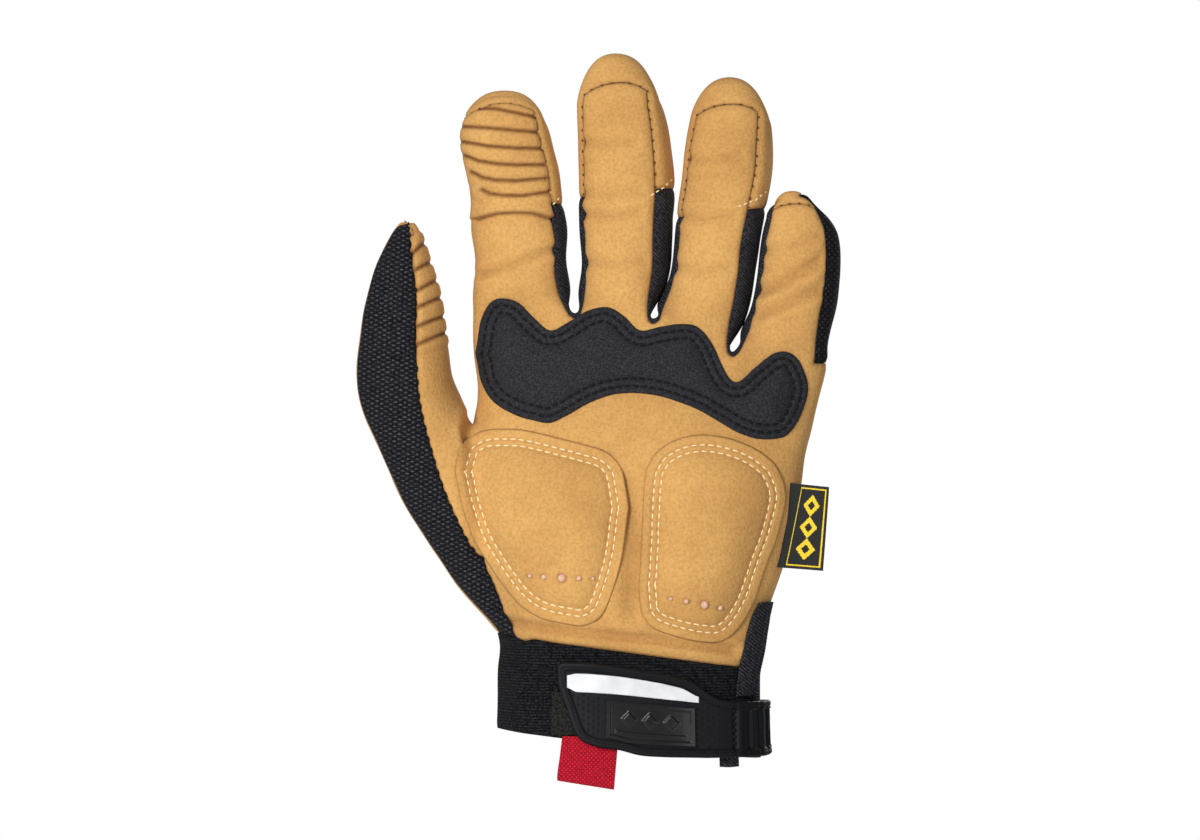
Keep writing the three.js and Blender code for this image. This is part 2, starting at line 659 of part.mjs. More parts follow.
function edgeDistance(table, x, z) {
  const way = [
    ...table.map((row) => [row.x, row.high]),
    ...table.map((row) => [row.x, row.low]).reverse(),
  ];
  let best = Infinity;
  way.forEach(([ax, az], k) => {
    const [bx, bz] = way[(k + 1) % way.length];
    const [ux, uz] = [bx - ax, bz - az];
    const t = Math.min(1, Math.max(0, ((x - ax) * ux + (z - az) * uz) / (ux * ux + uz * uz)));
    best = Math.min(best, Math.hypot(x - ax - ux * t, z - az - uz * t));
  });
  return best;
}

function pad(table, height, edge, ramp, across) {
  const front = [];
  const back = [];
  for (const { x, low, high } of table) {
    const rowFront = [];
    const rowBack = [];
    for (let j = 0; j <= across; j++) {
      const share = (1 - Math.cos((Math.PI * j) / across)) / 2;
      const z = mix(low, high, share);
      const y = skinFront(x, z);
      const rise = Math.min(1, edgeDistance(table, x, z) / ramp);
      const swell = Math.sin((rise * Math.PI) / 2);
      rowFront.push(new THREE.Vector3(x, y - mix(edge, height, swell), z));
      rowBack.push(new THREE.Vector3(x, y + 3, z));
    }
    front.push(rowFront);
    back.push(rowBack);
  }
  return solidFrom(...patchSolid(front, back)).subtract(nearSkin);
}

// Places on the cuff: m counts round the ring, z is the height, off the distance out
function onCuff(m, z, off) {
  const low = Math.floor(m) % 36;
  const high = (low + 1) % 36;
  const t = m - Math.floor(m);
  const ringOf = (k) => {
    const [a, b] = [rings[k][low], rings[k][high]];
    return {
      p: points[a].clone().lerp(points[b], t),
      n: outward[a].clone().lerp(outward[b], t).normalize(),
    };
  };
  const top = ringOf(THUMB_LOW_ROW);
  const steps = rings.length - 1 - THUMB_LOW_ROW;
  const hem = ringOf(rings.length - 1);
  const at = ((top.p.z - z) / (top.p.z - hem.p.z)) * steps + THUMB_LOW_ROW;
  const k = Math.min(Math.max(Math.floor(at), THUMB_LOW_ROW - 5), rings.length - 2);
  const [a, b] = [ringOf(k), ringOf(k + 1)];
  const share = (a.p.z - z) / (a.p.z - b.p.z);
  const place = a.p.clone().lerp(b.p, share);
  const n = a.n.clone().lerp(b.n, Math.min(1, Math.max(0, share)));
  n.z *= 0.2;
  return place.addScaledVector(n.normalize(), off);
}

// Ring count at a place across the front of the cuff
function cuffCount(x) {
  const row = CUFF_ROWS[1];
  const last = (row.left + row.right) / 2 + (0.93 * (row.right - row.left)) / 2;
  return (15 * (x - row.corner)) / (last - row.corner);
}

// Sheet on the cuff from a table of count or place, low and high edge, inner and outer distance
function cuffSheet(table, across, innerAt, outerAt) {
  const front = [];
  const back = [];
  for (const row of table) {
    const m = row.count ?? cuffCount(row.x);
    const line = (offAt) => {
      const made = [];
      for (let j = 0; j <= across; j++) {
        const z = mix(row.low, row.high, j / across);
        made.push(onCuff(m, z, offAt(m, z, row)));
      }
      return made;
    };
    front.push(line(outerAt));
    back.push(line(innerAt));
  }
  return patchSolid(front, back);
}

const nearSkin = clearSkin(LAYER_GAP);

const COLOURS = {
  tan: [0xd9a45e, 0.9, 0],
  black_cloth: [0x1c1d20, 0.95, 0],
  twill: [0x33343a, 0.9, 0],
  knit: [0x17181b, 0.95, 0],
  suede_black: [0x222327, 0.95, 0],
  elastic: [0x131417, 0.9, 0],
  moulded: [0x1a1b1d, 0.55, 0],
  light: [0xe4e7ea, 0.45, 0],
  gloss: [0x101113, 0.25, 0],
  red: [0xb3122a, 0.8, 0],
  label: [0x15161a, 0.8, 0],
};

const group = new THREE.Group();
function node(name, geometry, colour) {
  const [color, roughness, metalness] = COLOURS[colour];
  const material = new THREE.MeshStandardMaterial({ color, roughness, metalness });
  const mesh = new THREE.Mesh(geometry, material);
  mesh.name = name;
  group.add(mesh);
}

const PANELS = {
  palm_leather: "tan",
  back_fabric: "black_cloth",
  sidewall_index_middle: "twill",
  sidewall_middle_ring: "twill",
  sidewall_ring_pinky: "twill",
  index_tip: "tan",
  middle_tip: "tan",
  ring_tip: "tan",
  pinky_tip: "tan",
  thumb_knit: "knit",
  thumb_back: "tan",
  wrist_cuff: "elastic",
};
for (const [panel, colour] of Object.entries(PANELS)) {
  node(panel, geometryOf(...panelShell(panel)), colour);
}

// Small holes pressed into the heel pads: x, z and radius
const HOLES_THUMB = [
  { x: -33.8, z: 59.6, radius: 0.7 },
  { x: -29, z: 59.3, radius: 0.9 },
  { x: -22.8, z: 59, radius: 1.4 },
  { x: -16.9, z: 58.9, radius: 0.9 },
  { x: -12.1, z: 58.8, radius: 0.6 },
];
const HOLES_LITTLE = [
  { x: 14.5, z: 51.8, radius: 0.7 },
  { x: 20, z: 50.9, radius: 0.9 },
  { x: 26.2, z: 49.7, radius: 1.4 },
  { x: 31.7, z: 48.6, radius: 0.9 },
];
const HOLE_DEPTH = 1.6;

function holePin({ x, z, radius }, face) {
  const sides = 8;
  const ends = [face - 3, face + HOLE_DEPTH];
  const vertices = ends.map((y) => new THREE.Vector3(x, y, z));
  for (const y of ends) {
    for (let k = 0; k < sides; k++) {
      const a = (2 * Math.PI * k) / sides;
      vertices.push(new THREE.Vector3(x + radius * Math.cos(a), y, z + radius * Math.sin(a)));
    }
  }
  const triangles = [];
  for (let k = 0; k < sides; k++) {
    const [a, b] = [2 + k, 2 + ((k + 1) % sides)];
    triangles.push([0, a, b], [1, b + sides, a + sides]);
    triangles.push([a, a + sides, b + sides], [a, b + sides, b]);
  }
  return solidFrom(vertices, triangles);
}

function pricked(solid, holes, height) {
  let made = solid;
  for (const hole of holes) made = made.subtract(holePin(hole, skinFront(hole.x, hole.z) - height));
  return made;
}

const knuckle = pad(KNUCKLE_PATCH, KNUCKLE_PAD_HEIGHT, PAD_EDGE, 7, 8);
node("knuckle_patch", geometryOfSolid(knuckle), "suede_black");
const heelThumb = pad(HEEL_PAD_THUMB, HEEL_PAD_HEIGHT, PAD_EDGE, 12, 10);
const heelThumbDone = pricked(heelThumb, HOLES_THUMB, HEEL_PAD_HEIGHT);
node("heel_pad_thumb_side", geometryOfSolid(heelThumbDone), "tan");
const heelLittle = pad(HEEL_PAD_LITTLE, HEEL_PAD_HEIGHT, PAD_EDGE, 12, 10);
const heelLittleDone = pricked(heelLittle, HOLES_LITTLE, HEEL_PAD_HEIGHT);
node("heel_pad_little_finger_side", geometryOfSolid(heelLittleDone), "tan");

// Closure strap: lies on the patch at its left end and on the cuff round the side
const STRAP = [
  { x: -23, low: 24, high: 28.4 },
  { x: -22, low: 20, high: 29.7 },
  { x: -20, low: 13.8, high: 30 },
  { x: -17.6, low: 6.8, high: 30 },
  { x: -15.2, low: 3.2, high: 30 },
  { x: -10, low: 1, high: 29.6 },
  { x: -3, low: 0, high: 28.6 },
  { x: 4, low: -1.8, high: 27.4 },
  { x: 11.7, low: -2.4, high: 26.2 },
  { x: 19, low: -2.6, high: 24.5 },
  { x: 22.5, low: -2.7, high: 22.4 },
  { x: 25.4, low: -2.8, high: 20 },
  { x: 28.8, low: -2.8, high: 17.6 },
  { x: 33, low: -2.8, high: 16.7 },
  { x: 38, low: -2.8, high: 16.4 },
  { count: 15, low: -2.8, high: 16.2 },
  { count: 16, low: -2.4, high: 16 },
  { count: 17, low: -1.8, high: 15.6 },
  { count: 18, low: -1, high: 15.2 },
  { count: 19, low: 0, high: 15 },
  { count: 20, low: 1, high: 15 },
  { count: 21, low: 2, high: 15 },
];
const STRAP_RAISED = 3.1;
const STRAP_LOW = 0.35;
const RIM_WIDTH = 2.3;
const RIM_HEIGHT = 0.8;

const strapUnder = (m) => mix(STRAP_RAISED, STRAP_LOW, Math.min(1, Math.max(0, (m - 14) / 2.4)));
const strapFace = (m) => strapUnder(m) + STRAP_THICK;

function strapSolid() {
  const front = [];
  const back = [];
  for (const row of STRAP) {
    const m = row.count ?? cuffCount(row.x);
    const rim = Math.min(RIM_WIDTH, (row.high - row.low) / 4);
    const slope = rim * 1.3;
    const flatZone = m > 15.5;
    const marks = [
      [row.low, 1],
      [row.low + rim, 1],
      [row.low + slope, 0],
      [mix(row.low, row.high, 0.4), 0],
      [mix(row.low, row.high, 0.6), 0],
      [row.high - slope, 0],
      [row.high - rim, 1],
      [row.high, 1],
    ];
    const ended = row === STRAP[0];
    front.push(
      marks.map(([z, up]) =>
        onCuff(m, z, strapFace(m) + RIM_HEIGHT * (ended ? 1 : flatZone ? 0 : up)),
      ),
    );
    back.push(marks.map(([z]) => onCuff(m, z, strapUnder(m))));
  }
  return patchSolid(front, back);
}
node("closure_strap", geometryOf(...strapSolid()), "moulded");

// Patch of hooks under the strap
const HOOK_PATCH = [
  { x: -25.6, low: 5, high: 19.6 },
  { x: -18, low: 5, high: 19.8 },
  { x: -10, low: 5, high: 20 },
  { x: 0, low: 5, high: 20 },
  { x: 10, low: 5, high: 20 },
  { x: 20, low: 5, high: 19.4 },
];
const hooks = cuffSheet(HOOK_PATCH, 1, () => LAYER_GAP, () => STRAP_RAISED - LAYER_GAP);
node("hook_patch", geometryOf(...hooks), "black_cloth");

// Light panel let into the strap, and the plate below it
const LIGHT_PANEL = [
  { x: -19.8, low: 21.4, high: 25.6 },
  { x: -17, low: 20, high: 26.2 },
  { x: -10, low: 19.6, high: 25.9 },
  { x: 0, low: 18.8, high: 24.8 },
  { x: 11, low: 17.6, high: 22.9 },
  { x: 18, low: 16.8, high: 21 },
  { x: 23, low: 16.2, high: 18.2 },
];
const onStrap = (lift) => (m) => strapFace(m) + lift;
const light = cuffSheet(LIGHT_PANEL, 1, onStrap(LAYER_GAP), onStrap(0.75));
node("reflective_panel", geometryOf(...light), "light");
const PLATE = [
  { x: -7.2, low: 4.4, high: 16.9 },
  { x: 0, low: 2.6, high: 16.3 },
  { x: 8, low: 1.9, high: 15.6 },
  { x: 15, low: 1.5, high: 15 },
  { x: 21.6, low: 1.2, high: 14.4 },
];
const plate = cuffSheet(PLATE, 1, onStrap(LAYER_GAP), onStrap(1.1));
node("strap_plate", geometryOf(...plate), "gloss");

// Woven pull loop under the lower edge of the strap: distance out and height of its outline
const LOOP_LEFT = -21.8;
const LOOP_OUTLINE = [
  { off: 0.3, z: 4.6 },
  { off: 0.3, z: -3 },
  { off: 0.1, z: -9 },
  { off: 0.6, z: -LOOP_DROP },
  { off: 1.55, z: -LOOP_DROP - 0.8 },
  { off: 2.5, z: -LOOP_DROP },
  { off: 3, z: -9 },
  { off: 2.8, z: -3 },
  { off: 2.8, z: 4.6 },
  { off: 1.8, z: 4.6 },
  { off: 1.8, z: -3 },
  { off: 2, z: -9 },
  { off: 1.55, z: -LOOP_DROP + 0.6 },
  { off: 1.1, z: -9 },
  { off: 1.3, z: -3 },
  { off: 1.3, z: 4.6 },
];
function loopSolid() {
  const stations = 5;
  const count = LOOP_OUTLINE.length;
  const vertices = [];
  for (let k = 0; k < stations; k++) {
    for (const { off, z } of LOOP_OUTLINE) {
      const x = LOOP_LEFT + (LOOP_WIDTH * k) / (stations - 1) + (z - 4.6) * 0.03;
      vertices.push(onCuff(cuffCount(x), z, off));
    }
  }
  const triangles = [];
  for (let k = 0; k + 1 < stations; k++) {
    for (let j = 0; j < count; j++) {
      const [a, b] = [k * count + j, k * count + ((j + 1) % count)];
      triangles.push([a, b + count, b], [a, a + count, b + count]);
    }
  }
  const flat = LOOP_OUTLINE.map(({ off, z }) => new THREE.Vector2(off, z));
  for (const [a, b, c] of THREE.ShapeUtils.triangulateShape(flat, [])) {
    const end = (stations - 1) * count;
    triangles.push([a, b, c], [a + end, c + end, b + end]);
  }
  return solidFrom(vertices, triangles);
}
node("pull_loop", geometryOfSolid(loopSolid()), "red");

// Small tab at the hem
const TAB = [
  { x: 31, low: -6.2, high: 1 },
  { x: 34, low: -6.4, high: 1 },
  { x: 37, low: -6.2, high: 1 },
];
node("hem_tab", geometryOf(...cuffSheet(TAB, 2, () => LAYER_GAP, () => 1.5)), "black_cloth");

// Binding of the slit at the wrist: height, first and last ring count
const BINDING = [
  { z: 18, first: 13.9, last: 15.3 },
  { z: 25, first: 14, last: 15.5 },
  { z: 32, first: 14.15, last: 15.8 },
  { z: 39, first: 14.35, last: 16 },
  { z: 45, first: 14.55, last: 16.1 },
  { z: 50, first: 14.8, last: 16 },
];
const bindingAt = (off) =>
  [0, 0.25, 0.5, 0.75, 1].map((t) =>
    BINDING.map(({ z, first, last }) => {
      const bulge = off > 0.5 && t > 0 && t < 1 ? 0.5 : 0;
      return onCuff(mix(first, last, t), z, off + bulge);
    }),
  );
const binding = solidFrom(...patchSolid(bindingAt(1.3), bindingAt(-1))).subtract(nearSkin);
node("vent_binding", geometryOfSolid(binding), "suede_black");

// Label held in the side seam: x of the near and far edge at each height
const LABEL = [
  { z: 61, near: 46, far: 67.4 },
  { z: 68, near: 48, far: 67.9 },
  { z: 75, near: 50, far: 68.4 },
  { z: 82, near: 52, far: 68.9 },
  { z: 90, near: 54, far: 69.4 },
];
const LABEL_FORWARD = -12;
const LABEL_THICK = 0.9;
const labelAt = (y) =>
  [0, 0.25, 0.5, 0.75, 1].map((t) =>
    LABEL.map(({ z, near, far }) => {
      const bend = 0.9 * Math.sin(t * 3.1) - t * 1.2;
      return new THREE.Vector3(mix(near, far, t), y + bend, z + (1 - t) * 1.6);
    }),
  );
const labelSheet = patchSolid(labelAt(LABEL_FORWARD - LABEL_THICK), labelAt(LABEL_FORWARD));
node("side_label", geometryOfSolid(solidFrom(...labelSheet).subtract(nearSkin)), "label");

export default group;
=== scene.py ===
# %% [markdown]
# A work glove for the left hand, seen from the palm side and filled as if a hand were in it.
# A real glove is cut from flat panels and sewn. Modelling each panel alone and fitting the
# edges by hand is slow, so one smooth hand-shaped skin is made first, and every panel is
# then taken out of it: neighbours meet exactly, as two pieces of leather do at a seam.
# All lengths below are millimetres, and each finished piece is brought to metres.

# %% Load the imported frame
import math

import bmesh
import bpy
import numpy as np
from mathutils import Matrix, Vector, noise
from mathutils.bvhtree import BVHTree
from mathutils.kdtree import KDTree


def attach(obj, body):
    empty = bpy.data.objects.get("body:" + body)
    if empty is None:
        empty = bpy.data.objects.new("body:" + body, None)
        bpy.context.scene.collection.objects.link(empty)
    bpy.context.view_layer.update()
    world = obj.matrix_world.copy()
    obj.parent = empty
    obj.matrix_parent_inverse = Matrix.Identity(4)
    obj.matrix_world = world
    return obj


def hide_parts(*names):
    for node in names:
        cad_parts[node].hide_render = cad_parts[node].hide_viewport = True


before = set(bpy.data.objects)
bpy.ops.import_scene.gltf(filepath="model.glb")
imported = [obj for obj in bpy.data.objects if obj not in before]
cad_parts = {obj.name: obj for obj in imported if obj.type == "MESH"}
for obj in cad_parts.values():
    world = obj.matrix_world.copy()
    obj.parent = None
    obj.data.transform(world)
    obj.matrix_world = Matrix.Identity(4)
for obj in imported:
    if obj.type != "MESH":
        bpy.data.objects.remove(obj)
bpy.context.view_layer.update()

# %% [markdown]
# The camera comes first. The glove is photographed straight on with a long lens, so the
# camera stands two metres off, and its lens is worked out from the width of the picture.

# %% Camera
PICTURE_WIDE = 414.0
STAND_OFF = 2200.0
LOOK_AT = (-9.7, -20.0, 113.2)
camera_data = bpy.data.cameras.new("palm_camera")
camera_data.sensor_width = 36.0
camera_data.lens = 36.0 * STAND_OFF / PICTURE_WIDE
camera_data.clip_end = 50.0
camera = bpy.data.objects.new("palm_camera", camera_data)
camera.location = (LOOK_AT[0] / 1000, (LOOK_AT[1] - STAND_OFF) / 1000, LOOK_AT[2] / 1000)
camera.rotation_euler = (math.pi / 2, 0, 0)
bpy.context.scene.collection.objects.link(camera)
bpy.context.scene.camera = camera
print("lens", round(camera_data.lens, 1))

# %% [markdown]
# Finishes. Suede is a soft nap: no gloss, fine speckle, and a sheen at the edges. The suede
# finishes read a number stored on the mesh, which is high in a groove, a crease, a sewn
# channel or beside a seam. It darkens the colour there: painted shade for the shadow in those dips.

# %% Helper for finishes
def finish(name, colour, rough, sheen=0.0, coat=0.0):
    made = bpy.data.materials.new(name)
    made.use_nodes = True
    shader = made.node_tree.nodes["Principled BSDF"]
    shader.inputs["Base Color"].default_value = (*colour, 1)
    shader.inputs["Roughness"].default_value = rough
    shader.inputs["Sheen Weight"].default_value = sheen
    shader.inputs["Coat Weight"].default_value = coat
    shader.inputs["Specular IOR Level"].default_value = 0.12
    return made, made.node_tree.nodes, made.node_tree.links, shader


def speckle(nodes, links, scale, detail=3.0, stretch=None):
    place = nodes.new("ShaderNodeTexCoord")
    grain = nodes.new("ShaderNodeTexNoise")
    grain.inputs["Scale"].default_value = scale
    grain.inputs["Detail"].default_value = detail
    if stretch:
        turn = nodes.new("ShaderNodeMapping")
        turn.inputs["Scale"].default_value = stretch
        links.new(place.outputs["Object"], turn.inputs["Vector"])
        links.new(turn.outputs["Vector"], grain.inputs["Vector"])
    else:
        links.new(place.outputs["Object"], grain.inputs["Vector"])
    return grain.outputs["Fac"]


def ramp(nodes, links, source, stops):
    made = nodes.new("ShaderNodeValToRGB")
    made.color_ramp.elements[0].position = stops[0][0]
    made.color_ramp.elements[0].color = (*stops[0][1], 1)
    made.color_ramp.elements[1].position = stops[-1][0]
    made.color_ramp.elements[1].color = (*stops[-1][1], 1)
    for at, colour in stops[1:-1]:
        made.color_ramp.elements.new(at).color = (*colour, 1)
    links.new(source, made.inputs["Fac"])
    return made.outputs["Color"]


def blend_colour(nodes, links, share, first, second, kind="MIX"):
    made = nodes.new("ShaderNodeMix")
    made.data_type = "RGBA"
    made.blend_type = kind
    for socket, value in ((made.inputs["Factor"], share), (made.inputs["A"], first), (made.inputs["B"], second)):
        if isinstance(value, (int, float)):
            socket.default_value = value
        elif isinstance(value, tuple):
            socket.default_value = (*value, 1)
        else:
            links.new(value, socket)
    return made.outputs["Result"]


def raise_by(nodes, links, shader, height, strength, distance):
    bump = nodes.new("ShaderNodeBump")
    bump.inputs["Strength"].default_value = strength
    bump.inputs["Distance"].default_value = distance
    links.new(height, bump.inputs["Height"])
    links.new(bump.outputs["Normal"], shader.inputs["Normal"])


# Reads the painted shade stored on the mesh: high in grooves, creases, sewn channels and beside seams.
def painted_shade_mask(nodes):
    mark = nodes.new("ShaderNodeAttribute")
    mark.attribute_name = "painted_shade"
    return mark.outputs["Fac"]


# %% Tan suede
def tan_suede(name, light, dark, groove):
    made, nodes, links, shader = finish(name, light, 0.92, sheen=0.06)
    cloudy = speckle(nodes, links, 34.0, 3.0)
    fine = speckle(nodes, links, 950.0, 2.0)
    base = ramp(nodes, links, cloudy, [(0.3, dark), (0.62, light)])
    dots = ramp(nodes, links, fine, [(0.34, (0.84, 0.82, 0.77)), (0.62, (1.05, 1.05, 1.05))])
    base = blend_colour(nodes, links, 0.8, base, dots, "MULTIPLY")
    # Painted shade: the tan is mixed towards dark brown where the mesh marks a groove, crease, sewn channel or seam.
    base = blend_colour(nodes, links, painted_shade_mask(nodes), base, groove)
    links.new(base, shader.inputs["Base Color"])
    raise_by(nodes, links, shader, fine, 0.55, 0.0005)
    return made


TAN_LIGHT = (0.690, 0.385, 0.126)
TAN_DARK = (0.565, 0.298, 0.094)
# Dark brown of the painted shade in grooves, creases and beside seams.
TAN_PAINTED_SHADE = (0.200, 0.080, 0.024)
tan = tan_suede("tan_suede", TAN_LIGHT, TAN_DARK, TAN_PAINTED_SHADE)


# %% Black suede of the knuckle patch
def dark_cloth(name, dark, light, scale, rough=0.95, sheen=0.03, lift=0.0003, stretch=None):
    made, nodes, links, shader = finish(name, dark, rough, sheen=sheen)
    fine = speckle(nodes, links, scale, 2.0, stretch)
    grain = ramp(nodes, links, fine, [(0.40, dark), (0.74, light)])
    # Painted shade: the cloth turns near black in the sewn channels and beside seams.
    base = blend_colour(nodes, links, painted_shade_mask(nodes), grain, (0.007, 0.007, 0.009))
    links.new(base, shader.inputs["Base Color"])
    raise_by(nodes, links, shader, fine, 0.5, lift)
    return made


black_suede = dark_cloth("black_suede", (0.018, 0.018, 0.021), (0.048, 0.048, 0.056), 1600.0)


# %% [markdown]
# Twill has fine diagonal ribs. The knit of the thumb and the red webbing have a lattice of
# small raised spots, which is what two sets of ribs make where they cross. So each woven
# finish is one or two wave patterns turned across the piece and multiplied.

# %% Woven finishes: twill, knit, elastic and webbing
def ribs(nodes, links, turn, pitch):
    place = nodes.new("ShaderNodeTexCoord")
    mapping = nodes.new("ShaderNodeMapping")
    mapping.inputs["Rotation"].default_value = turn
    links.new(place.outputs["Object"], mapping.inputs["Vector"])
    wave = nodes.new("ShaderNodeTexWave")
    wave.wave_type = "BANDS"
    wave.bands_direction = "X"
    wave.inputs["Scale"].default_value = 314.0 / pitch
    wave.inputs["Distortion"].default_value = 0.6
    wave.inputs["Detail"].default_value = 1.0
    links.new(mapping.outputs["Vector"], wave.inputs["Vector"])
    return wave.outputs["Fac"]


def woven(name, dark, light, turns, pitch, rough=0.9, depth=0.0005, spotty=0.6):
    made, nodes, links, shader = finish(name, dark, rough, sheen=0.02)
    height = ribs(nodes, links, turns[0], pitch)
    for turn in turns[1:]:
        height = blend_colour(nodes, links, 1.0, height, ribs(nodes, links, turn, pitch), "MULTIPLY")
    fine = speckle(nodes, links, 1400.0, 1.0)
    bands = ramp(nodes, links, height, [(0.10, dark), (0.80, light)])
    low, high = 1 - spotty, 1 + spotty
    dots = ramp(nodes, links, fine, [(0.38, (low, low, low)), (0.62, (high, high, high))])
    links.new(blend_colour(nodes, links, 1.0, bands, dots, "MULTIPLY"), shader.inputs["Base Color"])
    raise_by(nodes, links, shader, height, 0.8, depth)
    return made


twill = woven("charcoal_twill", (0.014, 0.014, 0.018), (0.040, 0.039, 0.047), [(0, 0.8, 0)], 0.9, depth=0.0003)
knit = woven("black_knit", (0.007, 0.007, 0.009), (0.058, 0.057, 0.070), [(0, 1.05, 0), (0, 2.0, 0)], 1.5)
back_cloth = woven("back_cloth", (0.006, 0.006, 0.007), (0.030, 0.030, 0.036), [(0, 0.7, 0), (0, 2.4, 0)], 1.4)
elastic = woven("cuff_elastic", (0.004, 0.004, 0.005), (0.016, 0.016, 0.020), [(0, 1.57, 0)], 1.0, spotty=0.9)
hook_loops = dark_cloth("hook_loops", (0.002, 0.002, 0.002), (0.052, 0.053, 0.050), 2600.0)
binding_tape = woven("binding_tape", (0.014, 0.014, 0.018), (0.046, 0.045, 0.056), [(0, 0.9, 0)], 1.0)
red_webbing = woven("red_webbing", (0.36, 0.004, 0.014), (0.80, 0.026, 0.060), [(0, 0.75, 0), (0, 2.35, 0)], 1.05, 0.8, spotty=0.15)


# %% Moulded rubber, plate, light panel, threads and label
def moulded(name, colour, rough, coat=0.0, grain=900.0, strength=0.12, shine=0.35):
    made, nodes, links, shader = finish(name, colour, rough, coat=coat)
    shader.inputs["Specular IOR Level"].default_value = shine
    fine = speckle(nodes, links, grain, 2.0)
    brighter = tuple(c * 1.35 for c in colour)
    links.new(ramp(nodes, links, fine, [(0.3, colour), (0.8, brighter)]), shader.inputs["Base Color"])
    raise_by(nodes, links, shader, fine, strength, 0.0002)
    return made


rubber = moulded("moulded_rubber", (0.0050, 0.0052, 0.0064), 0.5, shine=0.14)
# Near black rubber for the studs: painted shade, so each stud reads as one of the strap's small holes.
rubber_painted_shade = moulded("rubber_in_shade", (0.0012, 0.0012, 0.0014), 0.8)
plate_gloss = moulded("gloss_plate", (0.004, 0.004, 0.0045), 0.3, coat=0.1, grain=300.0, strength=0.03)
light_sheet = moulded("light_panel", (0.68, 0.685, 0.70), 0.45, grain=120.0, strength=0.15)
cream_thread = moulded("cream_thread", (0.88, 0.70, 0.40), 0.8, grain=2500.0)
dark_thread = moulded("dark_thread", (0.001, 0.001, 0.0015), 0.8, grain=2500.0)
brown_thread = moulded("brown_thread", (0.10, 0.045, 0.02), 0.8, grain=2500.0)
label_cloth = moulded("label_cloth", (0.012, 0.012, 0.012), 0.75, grain=1800.0)
label_yellow = moulded("label_yellow", (0.78, 0.55, 0.02), 0.7, grain=1800.0)
pink_inside = moulded("hole_inside", (0.70, 0.42, 0.30), 0.9)
print("finishes:", len(bpy.data.materials))

# %% [markdown]
# The hand shape. The real glove gets its form from the hand; here a low cage of four-sided
# faces is grown by extruding: a flat grid lies across the finger roots, its outer edge is
# drawn down to the cuff, each finger is a block of its faces pushed up, and the thumb is a
# block of side faces pushed out. Rounded ovals of a table give each ring its place.

# %% Sizes of the hand shape
CUFF_TOP_LEFT, CUFF_TOP_SLOPE = 39.0, -0.133
CUFF_HEM_LEFT, CUFF_HEM_SLOPE = 6.0, -0.11
THUMB_TOP_ROW, THUMB_LOW_ROW, THUMB_SEAM = 3, 10, 3
THUMB_TIP = (-76.4, -15.5, 181.6)
ROOT_X = [-50, -43, -31, -20.2, -16.6, -9, 0, 7.6, 11, 18, 27, 35.2, 38.8, 46, 57, 65.5]
ROOT_Z = [150, 151, 151, 150, 150, 150, 149, 148, 148, 146, 141, 137, 137, 136, 135, 133]
PALM_ROWS = [
  dict(drop=0, left=-53.6, right=69.2, corner=-50, deep=16.5),
  dict(drop=0.11, left=-53.5, right=66.4, corner=-49, deep=19),
  dict(drop=0.22, left=-52, right=63.6, corner=-47.5, deep=21),
  dict(drop=0.325, left=-52.6, right=61, corner=-47, deep=23),
  dict(drop=0.47, left=-62, right=59, corner=-50, deep=25.5),
  dict(drop=0.62, left=-61, right=55.4, corner=-50.5, deep=27.5),
  dict(drop=0.765, left=-57, right=50, corner=-50, deep=28.5),
  dict(drop=0.825, left=-53.5, right=48.4, corner=-47.6, deep=28.8),
  dict(drop=0.884, left=-50, right=47.6, corner=-44.9, deep=28.8),
  dict(drop=0.942, left=-47.2, right=47, corner=-42, deep=28.6),
  dict(drop=1, left=-45.2, right=46.2, corner=-39, deep=28.6),
]
CUFF_ROWS = [
  dict(left=-44.4, right=45.8, corner=-38.5, deep=28.4),
  dict(left=-44.6, right=46, corner=-38.5, deep=28.4),
  dict(left=-45, right=46.4, corner=-39, deep=28.8),
]
